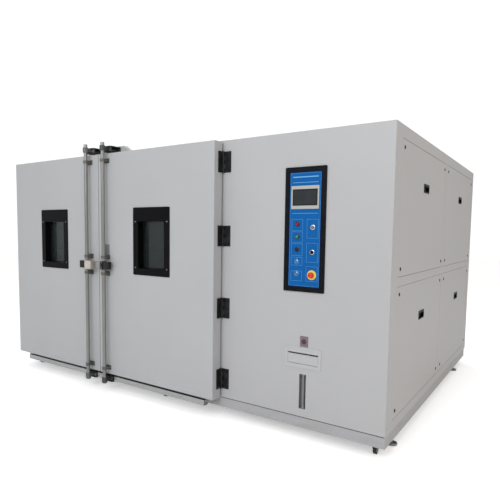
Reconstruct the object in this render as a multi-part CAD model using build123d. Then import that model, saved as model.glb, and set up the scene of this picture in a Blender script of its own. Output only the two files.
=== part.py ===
from build123d import *
import math
import os

# Walk-in environmental test chamber: an insulated room with two door leaves, and a machine cabinet on its right.
# Millimetres. X to the right, Y to the back, Z up. The origin is on the floor, under the middle of the object.

# Driving dimensions of the body
body_height = 2100.0  # base frame and body, without the castors
body_depth = 3045.0
machine_width = 1317.0
leaf_width = 1320.0
leaf_gap = 6.0  # between the two door leaves
floor_clearance = 80.0

# Base frame of rectangular tube
base_height = 80.0
base_tube_width = 60.0
base_wall = 4.0
base_rear_inset = 60.0

# Insulated room
panel_thickness = 100.0
skin = 1.5
liner_thickness = 2.0
frame_depth = 20.0  # the painted jamb that the doors close on

# Door leaves
door_rise = 78.0  # from the bottom of the base frame to the bottom of the doors
door_height = 2009.0
door_thickness = 100.0
door_standoff = 14.0
door_edge_radius = 4.0
gasket_width = 30.0
gasket_inset = 22.0
rest_gap = 0.3  # what moves lies this far from what it rests on

# Windows
window_width = 421.0
window_height = 579.0
window_centre_height = 1310.0  # over the bottom of the base frame
glass_width = 302.0
glass_height = 402.0
window_bottom_border = 58.0
window_side_wall = 8.0
window_flange = 6.0
window_recess = 60.0
glass_pack = 36.0

# Door hinges
hinge_height = 160.0
hinge_heights = (235.0, 802.0, 1368.0, 1935.0)  # centres over the bottom of the base frame
hinge_leaf = 66.0
hinge_door_leaf = 56.0
hinge_plate = 5.0
knuckle_radius = 9.0
knuckle_offset = 9.5
hinge_pin_radius = 4.0
knuckle_count = 5
knuckle_gap = 0.6
running_gap = 0.06  # radial, round pins and shafts

# Lock bars
bar_radius = 17.0
bar_wall = 3.0
bar_standoff = 46.0  # from the face of the door to the bar's axis
bar_from_seam = 115.0
bar_bottom = -2.0  # over the bottom of the base frame
bar_top = 2178.0
cam_heights = (30.0, 2127.0)
cam_thickness = 26.0
cam_collar_radius = 25.0
cam_collar_height = 44.0
cam_reach = 74.0
cam_arm_width = 32.0
cam_head_width = 84.0
cam_head_depth = 22.0
keeper_width = 118.0
keeper_wall = 9.0
keeper_gap = 2.0
keeper_reach = 118.0
guide_ends = (140.0, 2020.0)
guide_from_handle = 75.0
guide_height = 26.0
guide_wall = 6.0
guide_foot_width = 74.0
guide_foot_height = 40.0
handle_height = 1086.0
guide_heights = (guide_ends[0], handle_height - guide_from_handle, handle_height + guide_from_handle, guide_ends[1])
hub_radius = 24.0
hub_height = 76.0
grip_length = 82.0
grip_thickness = 36.0
grip_height = 68.0
grip_rounding = 6.0
lock_case_width = 81.0
lock_case_height = 74.0
buffer_from_seam = 24.0
buffer_width = 22.0
small_case_width = 42.0
small_case_height = 66.0
lock_bracket_depth = 44.0
lock_body_depth = 20.0
lock_cover_depth = 34.0
seam_clearance = 4.0

# Keeper beam on the roof and drip channel under the doors
beam_bottom_length = 620.0
beam_top_length = 440.0
beam_height = 62.0
beam_depth = 42.0
drip_depth = 50.0
drip_height = 44.0
drip_wall = 2.0
drip_rise = 18.0
drip_front = 112.0
drip_left_inset = 172.0
drip_right_inset = 84.0
drip_notch = 150.0
drip_bracket = 30.0

# Machine cabinet
tube = 40.0
tube_wall = 3.0
sheet = 2.0
skin_depth = 22.0  # from the outer faces in to the tubes
side_front_margin = 145.0
side_rear_margin = 90.0
side_post = 62.0
side_bottom_margin = 147.0
side_rail = 62.0
side_top_margin = 83.0
side_gap = 2.0
side_lip = 14.0  # what the side panels seat on
grip_width = 160.0
grip_opening_height = 66.0
grip_depth = 18.0
grip_flange = 3.0
grip_border = 9.0
grip_rise = 180.0  # over the middle of a side panel
louvre_count = 16
louvre_pitch = 45.0
louvre_length = 420.0
louvre_height = 14.0

# Control panel on the front
control_width = 313.0
control_height = 870.0
control_centre_in = 607.0  # from the right side
control_centre_height = 1420.0
control_border = 33.0
control_proud = 10.0
fascia_thickness = 3.0
fascia_sink = 4.0
screen_width = 212.0
screen_height = 160.0
screen_proud = 6.0
screen_below_top = 210.0  # from the top of the control panel to the middle of the screen
glass_margin_side = 11.0
glass_margin_top = 23.0
screen_sink = 1.5
left_column = 56.0
right_column = 62.0
bezel_radius = 15.0
bezel_height = 4.0
button_radius = 11.0
button_height = 9.0
button_travel = 3.0
button_gap = 0.4
stem_radius = 8.0
stem_length = 28.0
button_below_screen = 184.0
button_pitch = 89.0
lamp_below_buttons = 85.0
lamp_pitch = 84.0
lamp_radius = 6.0
key_below_screen = 207.0
selector_below_key = 172.0
selector_length = 24.0
selector_width = 9.0
selector_depth = 14.0
stop_below_selector = 159.0
stop_ring_radius = 34.0
stop_ring_thickness = 1.5
stop_radius = 20.0
stop_depth = 24.0
stop_neck_radius = 11.0
stop_travel = 4.0

# Water filler and level gauge
filler_width = 282.0
filler_height = 148.0
filler_centre_in = 600.0
filler_centre_height = 511.0
filler_border = 22.0
filler_top_border = 15.0
filler_bottom_border = 28.0
filler_bar = 24.0  # the fixed strip over the finger slot
filler_slot = 10.0
filler_proud = 4.0
filler_pocket = 110.0
filler_wall = 2.0
flap_thickness = 5.0
flap_sink = 1.0
flap_gap = 1.2
flap_lip = 3.0
flap_pin_length = 8.0
neck_length = 40.0
flap_pin_radius = 2.5
flap_pin_boss = 5.0
neck_radius = 22.0
neck_bore = 17.0
gauge_width = 53.0
gauge_height = 253.0
gauge_centre_in = 598.0
gauge_centre_height = 266.0
gauge_wall = 2.0
gauge_depth = 34.0
gauge_fitting = 12.0
gauge_tube_radius = 8.0
tank_width = 420.0
tank_depth = 380.0
tank_bottom = 120.0
tank_top = 420.0
tank_wall = 4.0

# Castors and levelling feet
wheel_radius = 29.0
wheel_width = 24.0
wheel_lift = 2.0  # the feet carry the load, so the wheels just clear the floor
axle_radius = 5.0
hub_bore_gap = 0.08
fork_wall = 3.0
fork_gap = 2.0
caster_trail = 20.0
caster_plate = 90.0
caster_plate_thickness = 4.0
kingpin_radius = 7.0
swivel_radius = 24.0
caster_front_in = 60.0
caster_rear_in = 105.0
caster_side_in = (117.0, 1982.0, 82.0)  # left one from the left side, the others from the right
foot_side_in = 40.0
foot_front_in = 300.0
foot_rear_in = 480.0
foot_pad_radius = 40.0
foot_pad_height = 14.0
foot_stud_radius = 9.0
foot_travel = 25.0
foot_nut = 14.0
foot_nut_height = 12.0

# Air duct, fans and coil in the room
plenum = 350.0
duct_front_in = 60.0
duct_sheet = 2.0
fan_radius = 200.0
fan_ring = 6.0
fan_ring_depth = 60.0
fan_tip_gap = 6.0
fan_places = (0.3, 0.7)
fan_height = 1640.0
fan_blades = 5
fan_hub_radius = 45.0
fan_hub_length = 60.0
shaft_radius = 12.0
shaft_hole_gap = 18.0
motor_radius = 80.0
motor_length = 220.0
motor_gap = 4.0
slot_count = 18
slot_length = 100.0
slot_height = 24.0
coil_depth = 190.0
coil_height = 820.0
coil_end_plate = 3.0
coil_fins = 24
coil_fin = 6.0
coil_tube_radius = 8.0
coil_rows = 6

# Machinery behind the panels
compressor_radius = 130.0
compressor_height = 430.0
compressor_wall = 10.0
compressor_pitch = 420.0
tray_thickness = 4.0
receiver_radius = 80.0
receiver_length = 520.0
receiver_wall = 6.0
condenser_width = 900.0
condenser_height = 900.0
condenser_depth = 120.0
condenser_wall = 3.0
tray_side_in = 120.0
tray_front_in = 900.0
tray_rear_in = 394.0
tray_leg = 40.0
compressor_from_middle = 200.0
compressor_from_front = 300.0
receiver_from_side = 140.0
receiver_from_front = 200.0
condenser_rise = 240.0
condenser_leg = 60.0
condenser_rear_in = 72.0
motor_foot = 220.0
louvre_rise = 300.0
louvre_from_middle = 20.0
electrical_width = 620.0
electrical_height = 1000.0
electrical_depth = 240.0

# Places that follow
screen_centre_height = control_centre_height + control_height / 2 - screen_below_top
first_button_height = screen_centre_height - button_below_screen
button_heights = [first_button_height - n * button_pitch for n in range(3)]  # stop, start and reset
lamp_heights = [button_heights[-1] - lamp_below_buttons - n * lamp_pitch for n in range(2)]
key_height = screen_centre_height - key_below_screen
selector_height = key_height - selector_below_key
stop_height = selector_height - stop_below_selector
doors_width = 2 * leaf_width + leaf_gap
overall_width = doors_width + machine_width
door_face = door_standoff + door_thickness
left_reach = knuckle_offset + knuckle_radius
right_reach = grip_flange
hub_reach = door_face + bar_standoff + hub_radius
front_reach = max(hub_reach, door_face + lock_bracket_depth + lock_body_depth + lock_cover_depth)
x_left = -overall_width / 2 + (left_reach - right_reach) / 2
x_right = x_left + overall_width
x_seam = x_right - machine_width  # where the doors end and the machine cabinet starts
x_middle = x_left + leaf_width + leaf_gap / 2  # between the leaves
front = -(body_depth - front_reach) / 2
back = front + body_depth
base = floor_clearance
body_floor = base + base_height
top = base + body_height
room_floor = body_floor + panel_thickness
room_roof = top - panel_thickness
face = front - door_face  # outer face of the doors
door_bottom = base + door_rise
door_top = door_bottom + door_height
bar_y = face - bar_standoff
bar_places = {"left": x_middle - bar_from_seam, "right": x_middle + bar_from_seam}
leaf_spans = {"left": (x_left, x_left + leaf_width), "right": (x_seam - leaf_width, x_seam)}
duct_x = x_seam - panel_thickness - plenum
fan_y = [front + frame_depth + share * (body_depth - frame_depth - panel_thickness) for share in fan_places]
fan_z = base + fan_height


def block(x0, x1, y0, y1, z0, z1):
    """A box from its lowest to its highest corner."""
    return Pos((x0 + x1) / 2, (y0 + y1) / 2, (z0 + z1) / 2) * Box(x1 - x0, y1 - y0, z1 - z0)


def rod(x, y, z0, z1, radius):
    """An upright cylinder."""
    return Pos(x, y, (z0 + z1) / 2) * Cylinder(radius, z1 - z0)


def rod_y(x, z, y0, y1, radius):
    """A cylinder along Y."""
    return Pos(x, (y0 + y1) / 2, z) * Rot(90, 0, 0) * Cylinder(radius, y1 - y0)


def rod_x(y, z, x0, x1, radius):
    """A cylinder along X."""
    return Pos((x0 + x1) / 2, y, z) * Rot(0, 90, 0) * Cylinder(radius, x1 - x0)


def hollow(x0, x1, y0, y1, z0, z1, wall):
    """A closed box of sheet: the skins of an insulated panel, whose foam weighs little."""
    inside = block(x0 + wall, x1 - wall, y0 + wall, y1 - wall, z0 + wall, z1 - wall)
    return block(x0, x1, y0, y1, z0, z1) - inside


def tube_frame(members, wall):
    """Rectangular tubes welded into one frame, hollow all along. Each member is a box of six limits."""
    outside = block(*members[0])
    inside = None
    for member in members[1:]:
        outside += block(*member)
    for x0, x1, y0, y1, z0, z1 in members:
        core = block(x0 + wall, x1 - wall, y0 + wall, y1 - wall, z0 + wall, z1 - wall)
        inside = core if inside is None else inside + core
    return outside - inside


def save(name, *solids):
    """Writes one node. Several solids make one file of separate solids."""
    bodies = []
    for shape in solids:
        bodies += list(shape.solids())
    whole = bodies[0] if len(bodies) == 1 else Compound(children=bodies)
    whole.label = name
    export_step(whole, f"parts/{name}.step")


# Base frame

foot_x = {"left": x_left + foot_side_in, "right": x_right - foot_side_in}
foot_y = {"front": front + foot_front_in, "rear": back - foot_rear_in}
caster_x = {
    "left": x_left + caster_side_in[0],
    "middle": x_right - caster_side_in[1],
    "right": x_right - caster_side_in[2],
}
base_back = back - base_rear_inset
beam_xs = (x_left, caster_x["middle"] - base_tube_width / 2, x_seam - base_tube_width, x_right - base_tube_width)
beam_ys = (front, (front + base_back - base_tube_width) / 2, base_back - base_tube_width)


def base_frame():
    members = [(x, x + base_tube_width, front, base_back, base, body_floor) for x in beam_xs]
    members += [(x_left, x_right, y, y + base_tube_width, base, body_floor) for y in beam_ys]
    frame = tube_frame(members, base_wall)
    for x in foot_x.values():
        for y in foot_y.values():
            frame += rod(x, y, base, body_floor, foot_nut)
            frame -= rod(x, y, base - 1, body_floor + 1, foot_stud_radius + running_gap)
    return frame


# Castors: three swivel ones at the front and three fixed ones at the back

wheel_z = wheel_lift + wheel_radius
plate_bottom = base - caster_plate_thickness
swivel_top = plate_bottom - 1.0
fork_crown = swivel_top - fork_wall
axle_reach = wheel_width / 2 + fork_gap + fork_wall + 2


def fork(x, y, trail, top_z):
    """Two cheeks, a crown and an axle. The wheel stands behind the kingpin by the trail."""
    inner = wheel_width / 2 + fork_gap
    crown = block(x - inner - fork_wall, x + inner + fork_wall, y - 20, y + 24, top_z - fork_wall, top_z)
    body = crown
    for side in (-1, 1):
        x0, x1 = sorted((x + side * inner, x + side * (inner + fork_wall)))
        plane = Plane(origin=(x0, 0, 0), x_dir=(0, 1, 0), z_dir=(1, 0, 0))
        with BuildPart() as cheek:
            with BuildSketch(plane):
                with BuildLine():
                    Polyline((y - 20, top_z), (y + 24, top_z), (y + trail + 9, wheel_z), (y + trail, wheel_z - 10),
                             (y + trail - 9, wheel_z), close=True)
                make_face()
            extrude(amount=x1 - x0)
        body += cheek.part
    return body + rod_x(y + trail, wheel_z, x - axle_reach, x + axle_reach, axle_radius)


def swivel_fork(x, y):
    body = fork(x, y, caster_trail, fork_crown + fork_wall)
    body += rod(x, y, fork_crown, plate_bottom + caster_plate_thickness - 1, kingpin_radius)
    return body


def wheel(x, y):
    rolling = rod_x(y, wheel_z, x - wheel_width / 2, x + wheel_width / 2, wheel_radius)
    rolling = fillet(rolling.edges().filter_by(GeomType.CIRCLE), 3)
    groove = rod_x(y, wheel_z, x - wheel_width / 2, x - wheel_width / 2 + 3, wheel_radius * 0.7)
    boss = rod_x(y, wheel_z, x - wheel_width / 2, x + wheel_width / 2, axle_radius + 5)
    rolling -= groove + Pos(wheel_width - 3, 0, 0) * groove
    return rolling + boss - rod_x(y, wheel_z, x - wheel_width, x + wheel_width, axle_radius + hub_bore_gap)


def caster_brackets():
    """Top plates bored for the kingpins at the front, and plates with fixed forks at the back."""
    parts = []
    half = caster_plate / 2
    front_y = front + caster_front_in
    rear_y = back - caster_rear_in
    for x in caster_x.values():
        plate = block(x - half, x + half, front_y - half, front_y + half, plate_bottom, base)
        parts.append(plate - rod(x, front_y, plate_bottom - 1, base + 1, kingpin_radius + hub_bore_gap))
        plate = block(x - half, x + half, rear_y - half, rear_y + half, plate_bottom, base)
        parts.append(plate + fork(x, rear_y, 0, plate_bottom))
    return parts


def levelling_foot(x, y):
    """A threaded stud with its nut and a round pad, which screws down out of the base frame."""
    pad = rod(x, y, 0, foot_pad_height, foot_pad_radius)
    pad = fillet(pad.edges().filter_by(GeomType.CIRCLE).sort_by(Axis.Z)[-1:], 6)
    stud = rod(x, y, foot_pad_height, body_floor - 6, foot_stud_radius)
    nut = Pos(x, y, base - foot_nut_height - rest_gap) * extrude(RegularPolygon(foot_nut, 6), foot_nut_height)
    return pad + stud + nut


# Insulated room

def room_panels():
    floor = hollow(x_left, x_seam, front + frame_depth, back, body_floor, room_floor, skin)
    roof = hollow(x_left, x_seam, front + frame_depth, back, room_roof, top, skin)
    left = hollow(x_left, x_left + panel_thickness, front + frame_depth, back, room_floor, room_roof, skin)
    rear = hollow(x_left + panel_thickness, x_seam - panel_thickness, back - panel_thickness, back, room_floor,
                  room_roof, skin)
    void = block(x_seam - panel_thickness + skin, x_seam - skin, front + frame_depth + skin, back - skin,
                 room_floor + skin, room_roof - skin)
    partition = block(x_seam - panel_thickness, x_seam, front + frame_depth, back, room_floor, room_roof)
    for y in fan_y:
        sleeve = shaft_radius + shaft_hole_gap
        void -= rod_x(y, fan_z, x_seam - panel_thickness, x_seam, sleeve + skin)
        partition -= rod_x(y, fan_z, x_seam - panel_thickness - 1, x_seam + 1, sleeve)
    return floor, roof, left, rear, partition - void


def room_liner():
    """Stainless sheet on the floor, walls and roof, open at the doors."""
    x0, x1 = x_left + panel_thickness, x_seam - panel_thickness
    y0, y1 = front + frame_depth, back - panel_thickness
    liner = block(x0, x1, y0, y1, room_floor, room_roof)
    liner -= block(x0 + liner_thickness, x1 - liner_thickness, y0 - 1, y1 - liner_thickness,
                   room_floor + liner_thickness, room_roof - liner_thickness)
    for y in fan_y:
        liner -= rod_x(y, fan_z, x1 - 10, x1 + 10, shaft_radius + shaft_hole_gap)
    return liner


def door_frame():
    """The painted jamb round the opening, and the beam on the roof's edge that carries the upper keepers."""
    jamb = block(x_left, x_seam, front, front + frame_depth, body_floor, top)
    jamb -= block(x_left + panel_thickness, x_seam - panel_thickness, front - 1, front + frame_depth + 1,
                  room_floor, room_roof)
    low, high = beam_bottom_length / 2, beam_top_length / 2
    with BuildPart() as beam:
        with BuildSketch(Plane.XZ.offset(-front - beam_depth)):
            with BuildLine():
                Polyline((x_middle - low, top), (x_middle + low, top), (x_middle + high, top + beam_height),
                         (x_middle - high, top + beam_height), close=True)
            make_face()
        extrude(amount=beam_depth)
    return jamb, fillet(beam.part.edges().filter_by(Axis.Y), 8)


def drip_channel():
    """A stainless gutter under the doors, notched where the lower keepers stand."""
    x0, x1 = x_left + drip_left_inset, x_seam - drip_right_inset
    y0 = front - drip_front
    z0 = base + drip_rise
    cuts = [x_middle - bar_from_seam, x_middle + bar_from_seam]
    starts = [x0] + [x + drip_notch / 2 for x in cuts]
    ends = [x - drip_notch / 2 for x in cuts] + [x1]
    parts = []
    for a, b in zip(starts, ends):
        trough = block(a, b, y0, y0 + drip_depth, z0, z0 + drip_height)
        trough -= block(a + drip_wall, b - drip_wall, y0 + drip_wall, y0 + drip_depth - drip_wall, z0 + drip_wall,
                        z0 + drip_height + 1)
        for x in (a + (b - a) * 0.06, b - (b - a) * 0.06):
            trough += block(x - drip_bracket / 2, x + drip_bracket / 2, y0 + drip_depth - drip_wall, front,
                            z0, z0 + drip_wall * 2)
        parts.append(trough)
    return parts


# Hinges, seen from above: the pin's axis is at the local origin

def knuckles(own):
    """The knuckles of one leaf: even ones on the fixed leaf, odd ones on the door's."""
    pitch = hinge_height / knuckle_count
    start = 0 if own == "fixed" else 1
    for n in range(start, knuckle_count, 2):
        z0 = -hinge_height / 2 + n * pitch + (knuckle_gap if n else 0)
        yield z0, -hinge_height / 2 + (n + 1) * pitch - (knuckle_gap if n < knuckle_count - 1 else 0)


def hinge_leaf_solid(own, along, plane_side, length):
    """A leaf whose plate runs along X or Y (along, with its sign) beside the plane at plane_side."""
    clear = knuckle_radius + 1.0
    near, far = sorted((plane_side, plane_side - math.copysign(hinge_plate, plane_side)))
    axis, sign = along
    z_half = hinge_height / 2

    def plate(start, end, z0, z1):
        u0, u1 = sorted((sign * start, sign * end))
        if axis == "x":
            return block(u0, u1, near, far, z0, z1)
        return block(near, far, u0, u1, z0, z1)

    leaf = plate(clear, length, -z_half, z_half)
    for z0, z1 in knuckles(own):
        leaf += plate(0, clear + 1, z0, z1) + rod(0, 0, z0, z1, knuckle_radius)
    if own == "fixed":
        return leaf + rod(0, 0, -z_half, z_half, hinge_pin_radius)
    return leaf - rod(0, 0, -z_half - 1, z_half + 1, hinge_pin_radius + running_gap)


hinge_axis = {
    "left": (x_left - knuckle_offset, front - door_standoff / 2),
    "right": (x_seam + knuckle_offset, front - knuckle_offset),
}


def hinges(side, own):
    """The four leaves of one door. The left door's lie along its side wall, the right door's in the corner."""
    x, y = hinge_axis[side]
    if side == "right" and own == "fixed":
        leaf = hinge_leaf_solid(own, ("x", 1), knuckle_offset, hinge_leaf)
    elif side == "right":
        leaf = hinge_leaf_solid(own, ("y", -1), -knuckle_offset, hinge_door_leaf)
    elif own == "fixed":
        leaf = hinge_leaf_solid(own, ("y", 1), knuckle_offset, hinge_leaf)
    else:
        leaf = hinge_leaf_solid(own, ("y", -1), knuckle_offset, hinge_door_leaf)
    return [Pos(x, y, base + z) * leaf for z in hinge_heights]


# Door leaves

def window_limits(span):
    """The glazed opening of a leaf: x0, x1, z0, z1."""
    middle = sum(span) / 2
    z0 = base + window_centre_height - window_height / 2 + window_bottom_border
    return middle - glass_width / 2, middle + glass_width / 2, z0, z0 + glass_height


def door_leaf(span):
    x0, x1 = span
    y0, y1 = face, front - door_standoff
    wx0, wx1, wz0, wz1 = window_limits(span)
    w = window_side_wall
    leaf = block(x0, x1, y0, y1, door_bottom, door_top)
    leaf = fillet(leaf.faces().sort_by(Axis.Y)[0].edges(), door_edge_radius)
    void = block(x0 + skin, x1 - skin, y0 + skin, y1 - skin, door_bottom + skin, door_top - skin)
    void = fillet(void.faces().sort_by(Axis.Y)[0].edges(), door_edge_radius - skin)
    void -= block(wx0 - w - skin, wx1 + w + skin, y0, y1, wz0 - w - skin, wz1 + w + skin)
    leaf -= void
    return leaf - block(wx0 - w, wx1 + w, y0 - 1, y1 + 1, wz0 - w, wz1 + w)


def window_frame(span):
    """The outer bezel with its sleeve, and the inner bezel."""
    wx0, wx1, wz0, wz1 = window_limits(span)
    w = window_side_wall
    middle = sum(span) / 2
    z_mid = base + window_centre_height
    hx, hz = window_width / 2, window_height / 2
    bezel = block(middle - hx, middle + hx, face - window_flange, face, z_mid - hz, z_mid + hz)
    bezel = fillet(bezel.edges().filter_by(Axis.Y), 10)
    bezel = fillet(bezel.faces().sort_by(Axis.Y)[0].edges(), 2)
    bezel += block(wx0 - w, wx1 + w, face, face + window_recess, wz0 - w, wz1 + w)
    bezel -= block(wx0, wx1, face - window_flange - 1, face + window_recess + 1, wz0, wz1)
    inner = front - door_standoff
    ring = block(wx0 - 40, wx1 + 40, inner, inner + window_flange, wz0 - 40, wz1 + 40)
    ring -= block(wx0, wx1, inner - 1, inner + window_flange + 1, wz0, wz1)
    return bezel, ring


def window_glass(span):
    """The sealed pane pack, from the sleeve to the room side."""
    wx0, wx1, wz0, wz1 = window_limits(span)
    w = window_side_wall
    y0 = face + window_recess
    return block(wx0 - w, wx1 + w, y0, y0 + glass_pack, wz0 - w, wz1 + w)


def gasket(span, side):
    """A ring on the back of the leaf, and a strip on its meeting edge."""
    x0, x1 = span[0] + gasket_inset, span[1] - gasket_inset
    z0, z1 = door_bottom + gasket_inset, door_top - gasket_inset
    y0, y1 = front - door_standoff, front - rest_gap
    ring = block(x0, x1, y0, y1, z0, z1)
    ring -= block(x0 + gasket_width, x1 - gasket_width, y0 - 1, y1 + 1, z0 + gasket_width, z1 - gasket_width)
    strip = leaf_gap / 2 - rest_gap
    edge = span[1] if side == "left" else span[0] - strip
    depth = door_thickness / 2
    return ring, block(edge, edge + strip, y0 - depth - gasket_width / 2, y0 - depth + gasket_width / 2,
                       door_bottom + 2, door_top - 2)


# Lock bars

def cam(z):
    """A forged cam: a collar on the bar and an arm with a cross head, which points at the keeper."""
    head = block(-cam_head_width / 2, cam_head_width / 2, cam_reach - cam_head_depth, cam_reach,
                 -cam_thickness / 2, cam_thickness / 2)
    head = fillet(head.edges().filter_by(Axis.Z), 6)
    arm = block(-cam_arm_width / 2, cam_arm_width / 2, 0, cam_reach - 4, -cam_thickness / 2, cam_thickness / 2)
    return Pos(0, 0, z) * (head + arm + Cylinder(cam_collar_radius, cam_collar_height))


def handle(outward):
    """The hub on the bar, and the black grip that points away from the seam."""
    x0, x1 = sorted((0, outward * grip_length))
    grip = block(x0, x1, -grip_thickness / 2, grip_thickness / 2, -grip_height / 2, grip_height / 2)
    grip = fillet(grip.edges().filter_by(Axis.X), grip_rounding)
    hub = fillet(Cylinder(hub_radius, hub_height).edges().filter_by(GeomType.CIRCLE), 3)
    return Pos(0, 0, base + handle_height) * (grip + hub)


def lock_bar(side):
    outward = -1 if side == "left" else 1
    bar = rod(0, 0, base + bar_bottom, base + bar_top, bar_radius)
    bar = fillet(bar.edges().filter_by(GeomType.CIRCLE), 2)
    fittings = handle(outward)
    for z in cam_heights:
        fittings += cam(base + z)
    place = Pos(bar_places[side], bar_y, 0)
    core = rod(0, 0, base + bar_bottom - 1, base + bar_top + 1, bar_radius)
    tube_core = rod(0, 0, base + bar_bottom + 4, base + bar_top - 4, bar_radius - bar_wall)
    return [place * (bar - tube_core)] + [place * s for s in (fittings - core).solids()]


def bar_guides(side):
    """Brackets on the door, with a ring that the bar turns in."""
    x = bar_places[side]
    guides = []
    for z in guide_heights:
        z0, z1 = base + z - guide_height / 2, base + z + guide_height / 2
        foot = block(x - guide_foot_width / 2, x + guide_foot_width / 2, face - guide_wall, face,
                     base + z - guide_foot_height / 2, base + z + guide_foot_height / 2)
        neck = block(x - bar_radius - guide_wall, x + bar_radius + guide_wall, bar_y, face - 1, z0, z1)
        ring = rod(x, bar_y, z0, z1, bar_radius + guide_wall)
        guides.append(foot + neck + ring - rod(x, bar_y, z0 - 1, z1 + 1, bar_radius + running_gap))
    return guides


def left_lock_case():
    """A bracket, the black lock body and its stainless cover, on the left leaf beside the seam."""
    x1 = x_middle - leaf_gap / 2 - seam_clearance
    x0 = x1 - lock_case_width
    z0, z1 = base + handle_height - lock_case_height / 2, base + handle_height + lock_case_height / 2
    y_bracket = face - lock_bracket_depth
    y_body = y_bracket - lock_body_depth
    y_cover = y_body - lock_cover_depth
    bracket = block(x0 + 6, x1, y_bracket, face, z0 + 6, z1 - 6)
    bracket -= block(x0 + 12, x1 - 6, y_bracket - 1, face - 6, z0 + 12, z1 - 12)
    body = block(x0 + 2, x1, y_body, y_bracket, z0 + 2, z1 - 2)
    cover = block(x0, x1, y_cover, y_body, z0, z1)
    cover = fillet(cover.faces().sort_by(Axis.Y)[0].edges(), 4)
    cover -= block(x0 + 3, x1 - 3, y_cover + 3, y_body + 1, z0 + 3, z1 - 3)
    return bracket, body, cover


def right_lock_case():
    """A bracket with a rubber buffer towards the seam, and a grey case beside the bar."""
    x0 = x_middle + buffer_from_seam
    x1 = x0 + buffer_width
    x2 = x1 + small_case_width
    z0, z1 = base + handle_height - small_case_height / 2, base + handle_height + small_case_height / 2
    y_bracket = face - lock_bracket_depth
    y_body = y_bracket - lock_body_depth
    bracket = block(x0 + 6, x2 - 6, y_bracket, face, z0 + 6, z1 - 6)
    bracket -= block(x0 + 12, x2 - 12, y_bracket - 1, face - 6, z0 + 12, z1 - 12)
    buffer = fillet(block(x0, x1, y_body, y_bracket, z0, z1).faces().sort_by(Axis.Y)[0].edges(), 3)
    case = block(x1, x2, y_body - 6, y_bracket, z0, z1)
    return bracket, buffer, fillet(case.faces().sort_by(Axis.Y)[0].edges(), 3)


def keepers():
    """A back plate and two shelves for each cam's head, bolted to the beam above and to the base below."""
    parts = []
    inner = cam_thickness / 2 + keeper_gap
    for x in bar_places.values():
        for z in cam_heights:
            y1 = front
            z_mid = base + z
            hx = keeper_width / 2
            plate = block(x - hx, x + hx, y1 - keeper_wall, y1, z_mid - inner - keeper_wall, z_mid + inner + keeper_wall)
            for z0 in (z_mid - inner - keeper_wall, z_mid + inner):
                shelf = block(x - hx, x + hx, y1 - keeper_reach, y1, z0, z0 + keeper_wall)
                shelf = fillet(shelf.edges().filter_by(Axis.Z).group_by(Axis.Y)[0], 22)
                plate += shelf
            parts.append(plate)
    return parts


# Machine cabinet

def side_rows():
    """The four openings in the cabinet's right side: y0, y1, z0, z1."""
    y_open = [front + side_front_margin, back - side_rear_margin]
    z_open = [base + side_bottom_margin, top - side_top_margin]
    y_mid = front + side_front_margin + (y_open[1] - y_open[0] - side_post) / 2
    z_mid = base + side_bottom_margin + (z_open[1] - z_open[0] - side_rail) / 2
    for y0, y1 in ((y_open[0], y_mid), (y_mid + side_post, y_open[1])):
        for z0, z1 in ((z_open[0], z_mid), (z_mid + side_rail, z_open[1])):
            yield y0, y1, z0, z1


def side_grip_centre(opening):
    y0, y1, z0, z1 = opening
    return (y0 + y1) / 2, (z0 + z1) / 2 + grip_rise


def cabinet_frame():
    """Square tubes welded behind the skins, and the painted surround of the side panels."""
    x0, x1 = x_seam + skin_depth, x_right - skin_depth
    y0, y1 = front + skin_depth, back - skin_depth
    z0, z1 = body_floor, top - skin_depth
    openings = list(side_rows())
    y_post = (openings[0][1] + openings[2][0]) / 2 - tube / 2
    z_rail = (openings[0][3] + openings[1][2]) / 2 - tube / 2
    members = []
    for x in (x0, x1 - tube):
        members += [(x, x + tube, y, y + tube, z0, z1) for y in (y0, y1 - tube)]
        members += [(x, x + tube, y0, y1, z, z + tube) for z in (z0, z1 - tube)]
    for y in (y0, y1 - tube):
        members += [(x0, x1, y, y + tube, z, z + tube) for z in (z0, z1 - tube)]
    members.append((x1 - tube, x1, y_post, y_post + tube, z0, z1))
    members.append((x1 - tube, x1, y0, y1, z_rail, z_rail + tube))
    frame = tube_frame(members, tube_wall)
    surround = block(x1, x_right, y0, y1, body_floor, top)
    surround -= block(x1 - 1, x_right - sheet, y0 + sheet, y1 - sheet, body_floor + sheet, top - sheet)
    for oy0, oy1, oz0, oz1 in openings:
        surround += block(x1, x_right - rest_gap, oy0 - sheet, oy1 + sheet, oz0 - sheet, oz1 + sheet)
        surround -= block(x1 + sheet, x_right + 1, oy0, oy1, oz0, oz1)
        surround -= block(x1 - 1, x_right + 1, oy0 + side_lip, oy1 - side_lip, oz0 + side_lip, oz1 - side_lip)
    return frame, surround


def pan(x_face, y0, y1, z0, z1, depth):
    """A folded sheet panel that faces +X, with returned edges."""
    shell = block(x_face - depth, x_face, y0, y1, z0, z1)
    shell = fillet(shell.faces().sort_by(Axis.X)[-1].edges(), sheet)
    return shell - block(x_face - depth - 1, x_face - sheet, y0 + sheet, y1 - sheet, z0 + sheet, z1 - sheet)


def side_panels():
    panels = []
    for opening in side_rows():
        y0, y1, z0, z1 = opening
        panel = pan(x_right, y0 + side_gap, y1 - side_gap, z0 + side_gap, z1 - side_gap, skin_depth - sheet)
        y, z = side_grip_centre(opening)
        half_y, half_z = grip_width / 2 - grip_border / 2, grip_opening_height / 2 - grip_border / 2
        panels.append(panel - block(x_right - sheet - 1, x_right + 1, y - half_y, y + half_y, z - half_z, z + half_z))
    return panels


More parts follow.
